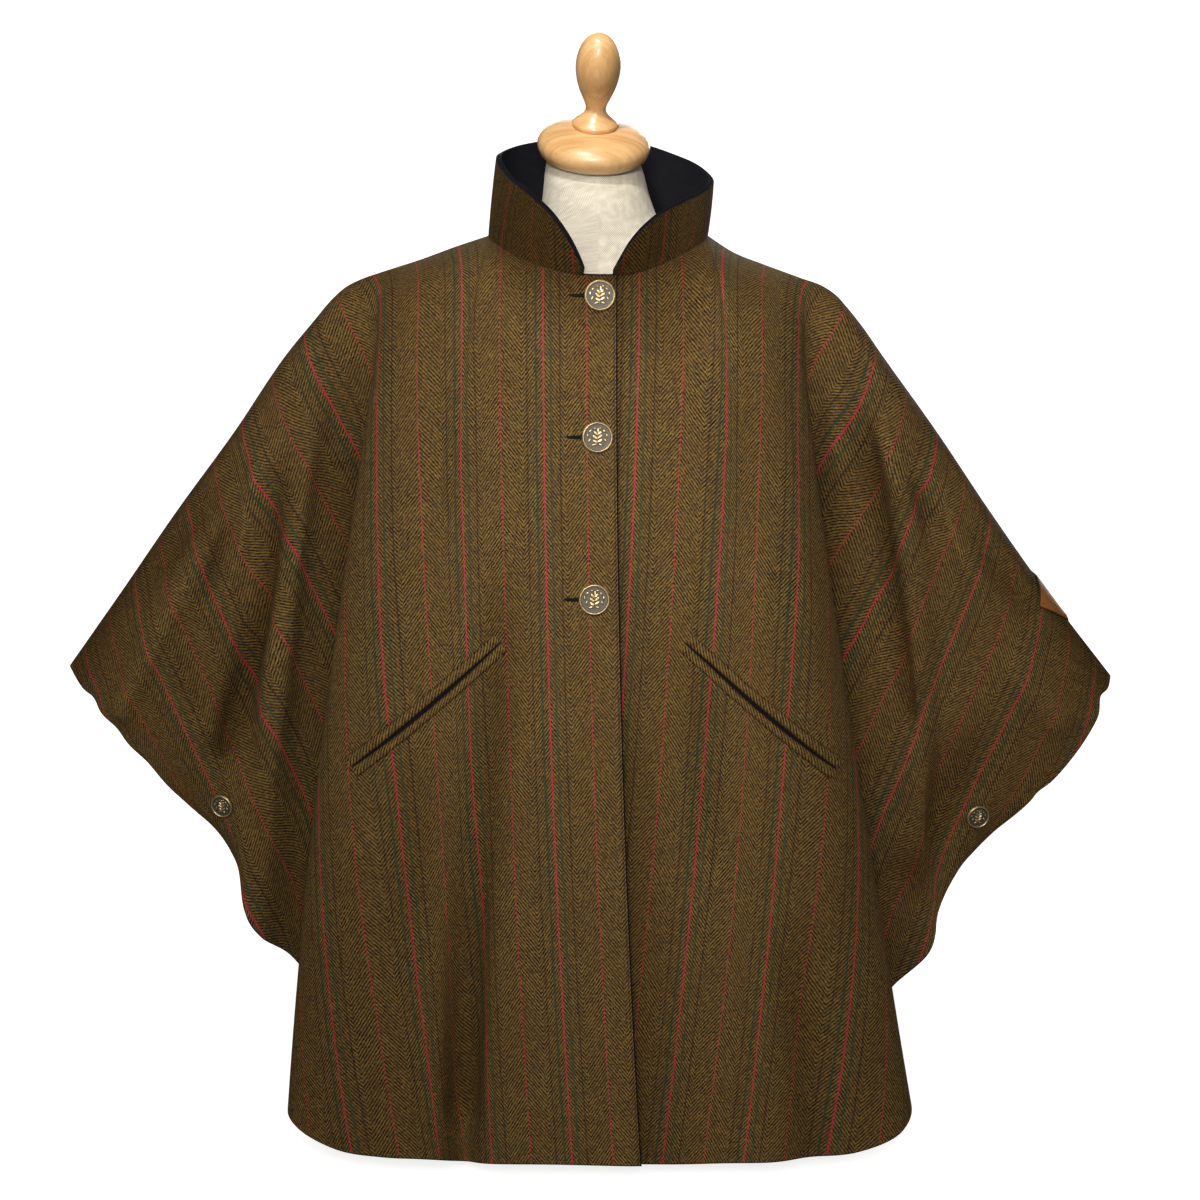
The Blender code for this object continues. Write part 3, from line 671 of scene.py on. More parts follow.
# what shows, where it starts, where it is full, how strong it is, its colour
for value, low, high, most, colour in (
        (fleck.outputs[1], 0.72, 0.95, 0.6, MOSS_FLECK), (fleck.outputs[2], 0.76, 0.96, 0.6, RUST_FLECK),
        (streak, 0.52, 0.72, 0.6, RUST_FLECK), (slub, 0.56, 0.78, 0.45, NEAR_BLACK),
        (broad, 0.3, 0.7, 0.24, RUST_FLECK)):
    ground = w.mix(w.ramp(value, low, high, 0.0, most), ground, colour)
w.plug(w.math("ADD", w.math("MULTIPLY", twill, 0.7), w.math("MULTIPLY", speck, 0.5)), go.inputs["Height"])
print("ground nodes", len(tweed_group.nodes))

# %% Coloured warp threads
CRIMSON = (0.76, 0.026, 0.115, 1)
BRICK = (0.58, 0.034, 0.080, 1)
TEAL = (0.022, 0.075, 0.044, 1)
INK = (0.020, 0.016, 0.022, 1)
# colour, places in the repeat, half width, strength, shift of the dots, what shows between dots
WARP_THREADS = (
    (TEAL, (-0.085, 0.085), 0.0130, 0.8, 0.2, 0.35),
    (INK, (-0.192, 0.192), 0.0095, 0.8, 0.6, 0.25),
    (BRICK, (0.5,), 0.0062, 1.0, 0.0, 0.16),
    (CRIMSON, (0.0,), 0.0078, 1.0, 0.4, 0.30),
)


def thread(offset, half, strength):
    """Mask of a warp thread at an offset in the repeat."""
    near = w.math("ABSOLUTE", w.math("SUBTRACT", w.math("FRACT", w.math("ADD", across, 0.5 - offset)), 0.5))
    return w.math("MULTIPLY", w.ramp(near, half * 0.55, half * 1.45, 1.0, 0.0), strength)


def dotted(shift, gap):
    """Mask of the places where a warp thread lies on top of the weft."""
    phase = w.math("ADD", w.math("MULTIPLY", down, TWILL_DOWN), w.math("MULTIPLY", across, TWILL_ACROSS))
    beat = w.math("SINE", w.math("MULTIPLY", w.math("ADD", phase, shift), 2 * math.pi))
    return w.ramp(beat, -0.7, 0.35, gap, 1.0)


for colour, offsets, half, strength, shift, gap in WARP_THREADS:
    for offset in offsets:
        shown = w.math("MULTIPLY", thread(offset, half, strength), dotted(shift, gap))
        ground = w.mix(shown, ground, colour)
w.plug(ground, go.inputs["Colour"])
print("tweed group nodes", len(tweed_group.nodes))

# %% [markdown]
# ## Plain cloth
# The navy reverse of the cape and the linen cover of the form are plain weaves: threads over and under in a
# grid, with a little unevenness. One node group serves both, with its own thread size in each material.

# %% Plain weave as a node group
plain_group, w, come, go = new_group(
    "plain_weave", [("Metres", "NodeSocketVector"), ("Threads", "NodeSocketFloat")],
    [("Over", "NodeSocketFloat"), ("Height", "NodeSocketFloat")])
split = w.node("ShaderNodeSeparateXYZ")
w.plug(come.outputs["Metres"], split.inputs[0])
waves = []
for axis in (0, 1):
    turn = w.math("MULTIPLY", w.math("MULTIPLY", split.outputs[axis], come.outputs["Threads"]), 2 * math.pi)
    waves.append(w.math("SINE", turn))
grid = w.math("MULTIPLY", waves[0], waves[1])
uneven = w.noise(come.outputs["Metres"], 160.0, 3.0)
w.plug(w.ramp(w.math("ADD", w.math("MULTIPLY", grid, 0.35), uneven), 0.2, 0.85), go.inputs["Over"])
w.plug(w.math("ADD", w.math("MULTIPLY", grid, 0.5), uneven), go.inputs["Height"])
print("plain group nodes", len(plain_group.nodes))

# %% [markdown]
# ## Tweed and navy as finishes
# Each finish sets what is the same all over the cloth on the shader itself, and plugs in the weave. The tweed
# is also multiplied by painted shade, a share that each point of the cloth carries.

# %% Cloth finishes
# painted shade: the colour that the tweed is darkened towards where the painted shade is full
PAINTED_SHADE_TINT = (0.30, 0.25, 0.15, 1)
tweed, wires, shader = new_finish("striped_tweed", 0.90, Sheen_Weight=0.03, Sheen_Roughness=0.45,
                                  Sheen_Tint=(0.75, 0.62, 0.40, 1), Specular_IOR_Level=0.2,
                                  Specular_Tint=(0.95, 0.82, 0.6, 1))
laid = wires.node("ShaderNodeUVMap", uv_map="weave").outputs["UV"]
cloth = group_in(wires, tweed_group, Repeats=laid)
# this attribute holds painted shade, with a painted highlight on crests, and darkens the tweed
painted_shade = wires.node("ShaderNodeAttribute", attribute_name="painted_shade").outputs["Fac"]
shade = wires.mix(painted_shade, PAINTED_SHADE_TINT, (1, 1, 1, 1))
wires.plug(wires.mix(1.0, cloth.outputs["Colour"], shade, "MULTIPLY"), shader.inputs["Base Color"])
add_bump(wires, shader, cloth.outputs["Height"], 0.5, 0.0004)

navy, wires, shader = new_finish("navy_reverse", 0.88, Sheen_Weight=0.03, Sheen_Roughness=0.5,
                                 Sheen_Tint=(0.30, 0.34, 0.48, 1), Specular_IOR_Level=0.2)
laid = wires.node("ShaderNodeUVMap", uv_map="weave").outputs["UV"]
metres = wires.stretch(laid, (REPEAT_MM * MM, REPEAT_MM * MM, 1))
cloth = group_in(wires, plain_group, Metres=metres, Threads=420.0)
wires.plug(wires.mix(cloth.outputs["Over"], (0.0022, 0.0022, 0.0034, 1), (0.0060, 0.0062, 0.0095, 1)),
           shader.inputs["Base Color"])
add_bump(wires, shader, cloth.outputs["Height"], 0.35, 0.0003)
print("cloth finishes", tweed.name, navy.name)

# %% [markdown]
# ## Cloth as a thin shell
# A sheet has two faces and an edge. The outer face gets the tweed, the inner face and the rounded edge the
# navy reverse, which shows as a dark line along every free edge, as on the real cape.

# %% Making a shell from two grids of points
SHARP_EDGE = 38.0


def grid_shell(name, outer, inner, weave, finishes, bulge=(0, 0, 0, 0), painted_shade=None, sewn_row=None, free=0):
    """bulge is how far the rounded edge stands out at the first and last column, the top and the hem;
    a sewn row has no bare edge, but for its first free columns."""
    columns, rows = outer.shape[:2]
    count = columns * rows
    number = np.arange(count).reshape(columns, rows)
    quads = np.stack([number[:-1, :-1], number[1:, :-1], number[1:, 1:], number[:-1, 1:]], -1).reshape(-1, 4)
    loop = [(i, 0) for i in range(columns)] + [(columns - 1, j) for j in range(1, rows)]
    loop += [(i, rows - 1) for i in range(columns - 2, -1, -1)] + [(0, j) for j in range(rows - 2, 0, -1)]
    loop = np.array(loop)
    edge_out = outer[loop[:, 0], loop[:, 1]]
    edge_in = inner[loop[:, 0], loop[:, 1]]
    push = np.zeros_like(edge_out)
    for share, line, here, back in (
            (bulge[0], loop[:, 0] == 0, 0, 1), (bulge[1], loop[:, 0] == columns - 1, -1, -2)):
        push[line] += share * unit(outer[here] - outer[back])[loop[line, 1]]
    for share, line, here, back in (
            (bulge[2], loop[:, 1] == 0, 0, 1), (bulge[3], loop[:, 1] == rows - 1, -1, -2)):
        push[line] += share * unit(outer[:, here] - outer[:, back])[loop[line, 0]]
    bare = (loop[:, 1] == 0) & (loop[:, 0] < free)
    push[bare] += bulge[3] * unit(outer[:, 0] - outer[:, 1])[loop[bare, 0]]
    middle = (edge_out + edge_in) / 2 + push
    a = number[loop[:, 0], loop[:, 1]]
    b = np.roll(a, -1)
    m = 2 * count + np.arange(len(loop))
    n = np.roll(m, -1)
    rim_faces = np.concatenate([np.stack([b, a, m, n], -1), np.stack([n, m, a + count, b + count], -1)])
    facing = np.cross(outer[1, 0] - outer[0, 0], outer[0, 1] - outer[0, 0]) @ (outer[0, 0] - inner[0, 0])
    faces = np.concatenate([quads, quads[:, ::-1] + count, rim_faces])
    if facing < 0:
        faces = faces[:, ::-1]
    points = np.concatenate([outer.reshape(-1, 3), inner.reshape(-1, 3), middle]) * MM
    mesh = bpy.data.meshes.new(name)
    mesh.from_pydata(points.tolist(), [], faces.tolist())
    for finish in finishes:
        mesh.materials.append(finish)
    kind = np.zeros(len(faces), int)
    kind[len(quads):] = len(finishes) - 1
    if sewn_row is not None:
        sewn = np.tile((loop[:, 1] == sewn_row % rows) & ~bare, 2)
        kind[2 * len(quads):][sewn] = 0
    mesh.polygons.foreach_set("material_index", kind)
    flat = weave.reshape(-1, 2)
    flat = np.concatenate([flat, flat, weave[loop[:, 0], loop[:, 1]]])
    corner = np.empty(len(mesh.loops), int)
    mesh.loops.foreach_get("vertex_index", corner)
    mesh.uv_layers.new(name="weave").data.foreach_set("uv", flat[corner].ravel())
    # painted shade kept at each point as an attribute, 1 where none is painted
    lie = np.ones((columns, rows)) if painted_shade is None else painted_shade
    lie = np.concatenate([lie.ravel(), lie.ravel(), lie[loop[:, 0], loop[:, 1]]])
    mesh.attributes.new("painted_shade", "FLOAT", "POINT").data.foreach_set("value", lie)
    mesh.shade_smooth()
    mesh.set_sharp_from_angle(angle=math.radians(SHARP_EDGE))
    return place(name, mesh)


print("shell helper ready")

# %% [markdown]
# ## A fine grid on each panel
# The grid takes even steps of cloth across a panel and closer steps near its top, where the cloth turns. A
# cut edge of heavy wool is never quite straight, so the cuffs are drawn in at a few places.

# %% Even steps and wavy cuffs
# side of the wearer: share down the cuff, half length of the dip as a share, depth
CUFF_DIPS = {
    -1: ((0.20, 0.05, 4.0), (0.37, 0.07, 3.5), (0.57, 0.10, 3.0)),
    1: ((0.15, 0.055, 6.0), (0.74, 0.05, 2.5)),
}
CUFF_GIVES = 34.0
CUFF_COLUMNS = 14


def even_sections(panel, count):
    """Section numbers at even steps of cloth, by the wider of its top and its hem."""
    wide = np.abs(np.diff(panel.table[:, [0, -1]], axis=0)).max(axis=1)
    reach = np.concatenate([[0], np.cumsum(wide)])
    return np.interp(np.linspace(0, reach[-1], count), reach, np.arange(panel.last + 1))


def wavy_cuff(panel, outer, share):
    """The cuff's edge drawn in at a few places."""
    dip = sum(deep * np.exp(-((share - at) / half) ** 2) for at, half, deep in CUFF_DIPS[panel.side])
    inward = outer - outer[-1]
    gap = np.linalg.norm(inward, axis=-1, keepdims=True)
    give = np.clip(1 - gap / CUFF_GIVES, 0, 1) ** 2
    way = unit(outer[-CUFF_COLUMNS] - outer[-1])
    return outer + give * dip[:, None] * way


print("cuff dips", {side: len(rows) for side, rows in CUFF_DIPS.items()})

# %% [markdown]
# ## Laying the warp
# Stripes fix where each point lies across the cloth. Where it lies down the cloth is relaxed, step by step,
# until the weft runs square to the stripes, so the twill keeps its slant and size round every fold.

# %% Weft square to the stripes
RELAX_ROUNDS = 300
OVER_RELAX = 1.95


def lay_warp(outer, weave, repeat):
    """Relaxes the places down the cloth until they run square to the places across it."""
    along_u, along_t = np.gradient(outer, axis=(0, 1))
    across_u, across_t = np.gradient(weave[..., 0])
    uu = np.sum(along_u * along_u, axis=-1)
    tt = np.sum(along_t * along_t, axis=-1)
    ut = np.sum(along_u * along_t, axis=-1)
    slope = along_u * (tt * across_u - ut * across_t)[..., None]
    slope = slope + along_t * (uu * across_t - ut * across_u)[..., None]
    square = unit(np.cross(np.cross(along_u, along_t), slope) + 1e-12)
    square = square * np.sign(np.sum(square * along_t)) / repeat
    want_t = np.sum((square[:, 1:] + square[:, :-1]) / 2 * np.diff(outer, axis=1), axis=-1)
    want_u = np.sum((square[1:] + square[:-1]) / 2 * np.diff(outer, axis=0), axis=-1)
    down = weave[..., 1]
    near = np.full(down.shape, 4.0)
    near[[0, -1]] -= 1
    near[:, [0, -1]] -= 1
    checker = np.add.outer(np.arange(down.shape[0]), np.arange(down.shape[1])) % 2
    for turn in range(2 * RELAX_ROUNDS):
        total = np.zeros_like(down)
        total[:, :-1] += down[:, 1:] - want_t
        total[:, 1:] += down[:, :-1] + want_t
        total[:-1] += down[1:] - want_u
        total[1:] += down[:-1] + want_u
        down = np.where(checker == turn % 2, down + OVER_RELAX * (total / near - down), down)
    return np.stack([weave[..., 0], down], -1)


print("relaxing rounds", RELAX_ROUNDS)

# %% [markdown]
# ## Painted shade on the cloth
# The tweed's colour is darkened by painted shade in hollows, near the collar, in the underarm, over the arm,
# beside the lap and low down at the sides, and the crests of folds keep their colour as a painted highlight.
# That share is kept at each point, so the painted shade stays with the cloth from every side.

# %% Painted shade on the cloth
# how much painted shade each place takes off the colour, as a share; OFF_CREST is taken off all but the
# crests, a painted highlight
NEAR_NECK = 0.85
IN_UNDERARM = 0.78
OVER_ARM = 0.62
BY_LAP = 0.5
OFF_CREST = 0.22
LOW_DOWN = {-1: 0.24, 1: 0.05}
FRONT_HOLLOW = 0.75
BACK_HOLLOW = 0.3
# how far a place reaches, in millimetres or, round the underarm, in sections
NECK_SHADE = {True: 92.0, False: 58.0}
UNDERARM_REACH = {-1: 1.4, 1: 0.9}
ARM_STARTS = 205.0
ARM_REACH = (14.0, 16.0)
LAP_LINE = 6.0
LAP_SHADE = 34.0
NECK_SPREAD = 1.75
# where a place begins and where it is full: shares down the underarm, wefts, heights with a minus, widths
UNDERARM_RISES = (0.06, 0.28)
ARM_WIDENS = (ARM_STARTS, ARM_STARTS + 360)
ARM_RISES = (ARM_STARTS, ARM_STARTS + 40)
LAP_FALLS = (-560, -320)
LOW_FALLS = (-380, -80)
LOW_ASIDE = (20, 110)
HOLLOW_RISES = (0, 10)
CREST_RISES = (0, 8)


def rising(value, low, high):
    """0 before low, 1 after high and even steps between."""
    return np.clip((value - low) / (high - low), 0, 1)


def lie_of_nap(panel, u, t, weft_top, length):
    """1 where no shade is painted, less where one of the places above is near: painted shade."""
    is_left = panel is left_front
    near_neck = np.clip(NECK_SPREAD - weft_top / NECK_HALF, 0, 1)
    near_neck = near_neck * np.clip(1 - length / NECK_SHADE[is_left], 0, 1)
    names = [row[0] for row in (RIGHT_FRONT if panel.side < 0 else LEFT_FRONT)]
    under = names.index("under") - len(names) + 1 + panel.last
    deep = np.exp(-((u - under) / UNDERARM_REACH[panel.side]) ** 2) * rising(t, *UNDERARM_RISES)
    reach = ARM_REACH[0] + ARM_REACH[1] * rising(weft_top, *ARM_WIDENS)
    over = np.exp(-(length / reach) ** 2) * rising(weft_top, *ARM_RISES)
    base = panel.base(u, t)
    x, up = base[..., 0], base[..., 2]
    folds = relief(panel.creases, base, panel.across(panel.base, u, t))
    hollow = rising(-folds, *HOLLOW_RISES)
    crest = rising(folds, *CREST_RISES)
    edge = right_front.base(0.0, np.linspace(1, 0, 60))
    past = x - np.interp(up, edge[:, 2], edge[:, 0])
    under_lap = (past > 0) * is_left
    lap = np.exp(-(past / LAP_LINE) ** 2) * under_lap
    beside = np.exp(-(past / LAP_SHADE) ** 2) * under_lap * rising(-up, *LAP_FALLS)
    low = rising(-up, *LOW_FALLS) * rising(np.abs(x), *LOW_ASIDE)
    dusk = FRONT_HOLLOW if panel.facing > 0 else BACK_HOLLOW
    # painted shade near the neck, low at the sides, in the underarm, over the arm, in hollows and beside the
    # lap
    lie = (1 - NEAR_NECK * near_neck) * (1 - LOW_DOWN[panel.side] * low)
    lie = lie * (1 - IN_UNDERARM * deep) * (1 - OVER_ARM * over) * (1 - dusk * hollow)
    # painted highlight: the crests of folds keep their colour while the rest loses OFF_CREST
    return lie * (1 - BY_LAP * lap) * (1 - BY_LAP * beside) * (1 - OFF_CREST + OFF_CREST * crest)


print("nap takes off at most", NEAR_NECK)

# %% [markdown]
# ## Cutting the panels
# Each front is one shell, and the two halves of the back are joined into one. The stripes of a front start at
# its edge; those of the back meet in the middle.

# %% Points of a panel
CLOSER_AT_TOP = 1.45


def cut_grid(panel, columns, rows):
    """Outer points, wall directions and weave places of a panel on a fine grid."""
    u, t = np.meshgrid(even_sections(panel, columns), np.linspace(0, 1, rows) ** CLOSER_AT_TOP, indexing="ij")
    outer = wavy_cuff(panel, panel.point(u, t), t[0])
    normals = panel.normal(u, t)
    table = between_rows(panel.table, u[:, 0])
    sewn = table[:, 0] >= NECK_HALF
    normals[sewn, 0, 1] = 0.0
    normals = unit(normals)
    step = np.linalg.norm(np.diff(outer, axis=1), axis=-1)
    length = np.concatenate([np.zeros((columns, 1)), np.cumsum(step, axis=1)], axis=1)
    share = length / length[:, -1:]
    weft = table[:, :1] * (1 - share) + table[:, -1:] * share
    edge = np.diff(outer[:, 0], axis=0)
    fall = np.sqrt(np.clip((edge ** 2).sum(axis=1) - np.diff(table[:, 0]) ** 2, 0, None))
    start = np.concatenate([[0], np.cumsum(-np.sign(edge[:, 2]) * fall)])[:, None]
    down = start + np.sqrt(np.clip(length ** 2 - (weft - table[:, :1]) ** 2, 0, None))
    # the last item is the painted shade of each point
    return outer, normals, panel.weave(weft, down), lie_of_nap(panel, u, t, table[:, :1], length)


print("rows lie closer at the top by a power of", CLOSER_AT_TOP)

# %% The two fronts and the back
EDGE_ROLL = 1.1
FREE_AT_NECK = 9
FRONT_GRID = (235, 150)
HALF_BACK_GRID = (155, 130)
FREE_EDGES = (EDGE_ROLL, EDGE_ROLL, 0, EDGE_ROLL)
cape = {}


def cut_panel(name, grids, repeat, free=0):
    outer, normals, weave, painted_shade = grids
    weave = lay_warp(outer, weave, repeat)
    cape[name] = grid_shell(name + "_cloth", outer, outer - normals * CLOTH_WALL, weave, [tweed, navy],
                            FREE_EDGES, painted_shade, 0, free)


for name, panel in (("front_right", right_front), ("front_left", left_front)):
    cut_panel(name, cut_grid(panel, *FRONT_GRID), panel.stripes[1], FREE_AT_NECK)
halves = [cut_grid(panel, *HALF_BACK_GRID) for panel in (right_back, left_back)]
halves[1][2][..., 0] -= 1.0
cut_panel("back", [np.concatenate([one[::-1], two[1:]]) for one, two in zip(*halves)], REPEAT_MM)

# %% [markdown]
# ## The stand collar
# The collar stands on the neckline and flares a little. It is sewn from a tweed outer band and a navy
# facing, which rises just past the rim. Its stripes run up from the neck seam.

# %% Collar
# angle round the neck, rim_x, rim_fore, rim_up
COLLAR = (
    (8, -12, 91, 745), (20, -23, 91, 767), (34, -38, 83, 788), (52, -58, 60, 805), (72, -76, 27, 817),
    (90, -85, 0, 829), (112, -80, -29, 834), (136, -62, -50, 838), (160, -32, -63, 841), (180, 0, -66, 841),
    (200, 34, -63, 838), (224, 67, -49, 829), (248, 87, -27, 821), (270, 97, 0, 811), (290, 89, 28, 804),
    (308, 71, 59, 798), (326, 47, 83, 787), (340, 28, 92, 769), (352, 13, 92, 745),
)
# in millimetres: belly of the wall, rise of the rim, drop of the seam
COLLAR_BELLY = 0.6
RIM_RISE = 0.45
SEAM_DROP = 0.8


def neck_at(angle):
    turn = np.radians(angle)
    ahead = np.cos(turn)
    fore = np.where(ahead > 0, NECK_FORE, NECK_BACK) * ahead
    rise = np.where(ahead > 0, -NECK_FRONT_DROP, NAPE_RISE) * ahead ** 2
    return np.stack([-NECK_HALF * np.sin(turn), -fore, NECK_SIDE_UP + rise], -1)


def collar_grid(angles, up_shares, inset):
    rows = np.array(COLLAR, float)
    seam = neck_at(angles)
    rim_x, rim_fore, rim_up = [hermite(angles, rows[:, 0], column) for column in rows.T[1:]]
    rim = np.stack([rim_x, -rim_fore, rim_up], -1)
    inward = unit(-np.stack([seam[:, 0] / NECK_HALF, seam[:, 1] / NECK_FORE, np.zeros(len(angles))], -1))
    s = np.broadcast_to(up_shares, (len(angles), np.shape(up_shares)[-1]))[..., None]
    belly = 4.0 * s * (1 - s) * COLLAR_BELLY * inward[:, None, :]
    spot = seam[:, None, :] * (1 - s) + rim[:, None, :] * s - belly + inset * inward[:, None, :]
    return spot + np.array([0, 0, RIM_RISE]) * s - np.array([0, 0, SEAM_DROP]) * (1 - s)


COLLAR_COLUMNS = 241
COLLAR_ROWS = 29
COLLAR_OFF = 0.1
LAST_STRIPE = 43.0
FIRST_STRIPE = 6.0
STRIPE_GIVES = 260.0
WHOLE_REPEATS = 8
COLLAR_EDGES = (0.5, 0.5, 0.6, 0)
# painted shade darkens the collar all round, and painted light lifts it between these widths at the wearer's
# left
COLLAR_PAINTED_SHADE = 0.02
COLLAR_PAINTED_LIGHT = 0.55
PAINTED_LIGHT_BETWEEN = (50, 95)
angles = np.linspace(COLLAR[0][0], COLLAR[-1][0], COLLAR_COLUMNS)
rise = np.linspace(1, 0, COLLAR_ROWS)
outer = collar_grid(angles, rise, COLLAR_OFF)
run = np.concatenate([[0], np.cumsum(np.linalg.norm(np.diff(outer[:, -1], axis=0), axis=-1))])
whole = run[-1]
deep = np.where(outer[..., 1] < 0, NECK_FORE, NECK_BACK)
bearing = np.degrees(np.arctan2(-outer[..., 0] / NECK_HALF, -outer[..., 1] / deep))
run = np.interp(bearing % 360, angles, run)
height = np.linalg.norm(outer - outer[:, -1:], axis=-1)
weave = np.stack([(run - whole + LAST_STRIPE) / REPEAT_MM - WHOLE_REPEATS, -height / REPEAT_MM], -1)
left_over = (whole - LAST_STRIPE - FIRST_STRIPE) / REPEAT_MM % 1.0
weave[..., 0] += left_over * np.clip(1 - run / STRIPE_GIVES, 0, 1)
# painted shade on the collar, with painted light towards the wearer's left
lie = COLLAR_PAINTED_SHADE + COLLAR_PAINTED_LIGHT * rising(outer[..., 0], *PAINTED_LIGHT_BETWEEN)
inner = collar_grid(angles, rise, COLLAR_OFF + CLOTH_WALL)
cape["collar"] = grid_shell("collar_cloth", outer, inner, weave, [tweed, navy], COLLAR_EDGES, lie, -1)

# %% Navy facing
FACING_SHOWS = 3.4
FACING_LEAST = 0.25
FACING_EDGES = (0.4, 0.4, 0.6, 0)
FACING_FROM = 0.05
FACING_EASES = 70.0
start = COLLAR_OFF + CLOTH_WALL + SEAM_GAP * 2
ease = FACING_LEAST + (1 - FACING_LEAST) * np.clip(1 - angles / FACING_EASES, 0, 1)
past = FACING_SHOWS * ease / height[:, 0]
rise = np.linspace(1, FACING_FROM, COLLAR_ROWS) + np.outer(past, np.linspace(1, 0, COLLAR_ROWS))
outer = collar_grid(angles, rise, start)
inner = collar_grid(angles, rise, start + LINING_WALL)
cape["collar_lining"] = grid_shell("collar_facing", outer, inner, weave, [navy], FACING_EDGES)

# %% [markdown]
# ## Jetted pockets
# Two narrow folded strips, the jets, edge each slanting mouth. They are cut on the cross, so the stripes
# stop there. Each jet is a small pillow on the panel, made from the panel's own points, moved out along its
# normal. The mouth gapes a little in the middle. There a flat navy sheet laid on the cloth stands for the
# lining and, as painted shadow, for the dark inside of the pocket.

# %% Pocket jets and mouths
POCKET_WELT = 7.6
POCKET_GAPE = 2.6
RIGHT_POCKET = ((-80, 444), (-203, 337))
LEFT_POCKET = ((72, 444), (197, 334))
MOUTH_ENDS = 0.35
WELT_FROM = 1.1
JET_GRID = (61, 9)
MOUTH_GRID = (61, 5)
JET_LIFT = 0.3
# height of a jet's edge and of its crown above that
JET_EDGE = 0.35
JET_CROWN = 2.0
# painted shade of a jet: its share of colour kept, the painted shadow its seams take off, how far in that
# reaches as a share
JET_PAINTED_SHADE = 0.8
SEAM_PAINTED_SHADE = 0.78
SEAM_SHARE = 0.12
# places across the stripes that a jet is cut from, clear of the strong threads
CUT_FROM = 0.27
CUT_WIDE = 0.11
# heights of the mouth's two faces
MOUTH_UP = 0.26
MOUTH_BACK = 0.12


def strip_on(panel, ends, low, high, along_count, across_count):
    """Points and normals of a strip along a slanting mouth, with its edges at low and high, per share."""
    start = np.array(ends[0], float)
    along = np.array(ends[1], float) - start
    aside = np.array([-along[1], along[0]]) / np.linalg.norm(along)
    aside = aside if aside[1] > 0 else -aside
    s = np.linspace(0, 1, along_count)[:, None]
    o = np.linspace(0, 1, across_count)[None, :]
    off = low(s) * (1 - o) + high(s) * o
    goal = start + along * s[..., None] + aside * off[..., None]
    at = panel.locate(goal[..., 0], goal[..., 1]).reshape(along_count, across_count, 2)
    u, t = at[..., 0], at[..., 1]
    return panel.point(u, t), panel.normal(u, t), s, o, np.linalg.norm(along)


def gape(s):
    return MOUTH_ENDS + POCKET_GAPE / 2 * np.sin(np.pi * s) ** 0.8


jets = {}
for word, panel, ends in (("right", right_front, RIGHT_POCKET), ("left", left_front, LEFT_POCKET)):
    for level, low, high in (
            ("upper", lambda s: gape(s) * 0.6, lambda s: WELT_FROM + POCKET_WELT + 0 * s),
            ("lower", lambda s: -WELT_FROM - POCKET_WELT + 0 * s, lambda s: -gape(s) * 1.4)):
        spot, way, s, o, long = strip_on(panel, ends, low, high, *JET_GRID)
        pillow = JET_EDGE + JET_CROWN * np.sin(np.pi * (0.08 + 0.84 * o)) ** 0.6 * np.ones_like(s)
        # painted shade: the jet is darkened, with a painted shadow line along both seams
        seam_shade = JET_PAINTED_SHADE - SEAM_PAINTED_SHADE * np.exp(-(np.minimum(o, 1 - o) / SEAM_SHARE) ** 2) * np.ones_like(s)
        weave = np.stack([CUT_FROM + CUT_WIDE * o + 0 * s, s * long / REPEAT_MM + 0 * o], -1)
        jets["pocket_" + level + "_" + word] = grid_shell(
            "pocket_jet_" + level + "_" + word, spot + way * (JET_LIFT + pillow)[..., None],
            spot + way * JET_LIFT, weave, [tweed], painted_shade=seam_shade)
    # a flat navy sheet on the cloth: the lining's colour, and painted shadow for the pocket's dark inside
    low, high = (lambda s: -gape(s) * 1.5 - 0.4), (lambda s: gape(s) * 0.7 + 0.4)
    spot, way, s, o, _ = strip_on(panel, ends, low, high, *MOUTH_GRID)
    weave = np.stack([o + 0 * s, s * 2 + 0 * o], -1)
    jets["mouth_" + word] = grid_shell("pocket_mouth_shade_" + word, spot + way * MOUTH_UP,
                                       spot + way * MOUTH_BACK, weave, [navy])
print("pocket pieces", sorted(jets))

# %% [markdown]
# ## Cast buttons
# The front closes with three cast metal buttons, and a smaller one holds each cuff. Each is a disc with a
# raised rim and a leaf sprig in relief. The relief is a height added to the points of the face, and the
# same height is kept as an attribute, so the finish can be dark in the hollows and bright on the crests.

# %% Antique brass
brass, wires, shader = new_finish("antique_brass", 0.4, Metallic=0.85)
raised = wires.node("ShaderNodeAttribute", attribute_name="raised").outputs["Fac"]
where = wires.node("ShaderNodeTexCoord").outputs["Object"]
patch = wires.noise(where, 420.0, 3.0)
uneven = wires.math("MULTIPLY", wires.math("SUBTRACT", patch, 0.5), 0.5)
worn = wires.ramp(wires.math("ADD", raised, uneven), 0.18, 0.72)
wires.plug(wires.mix(worn, (0.125, 0.112, 0.092, 1), (0.80, 0.585, 0.30, 1)), shader.inputs["Base Color"])
wires.plug(wires.math("SUBTRACT", 0.62, wires.math("MULTIPLY", worn, 0.32)), shader.inputs["Roughness"])
add_bump(wires, shader, patch, 0.25, 0.0002)
print("brass nodes", len(brass.node_tree.nodes))

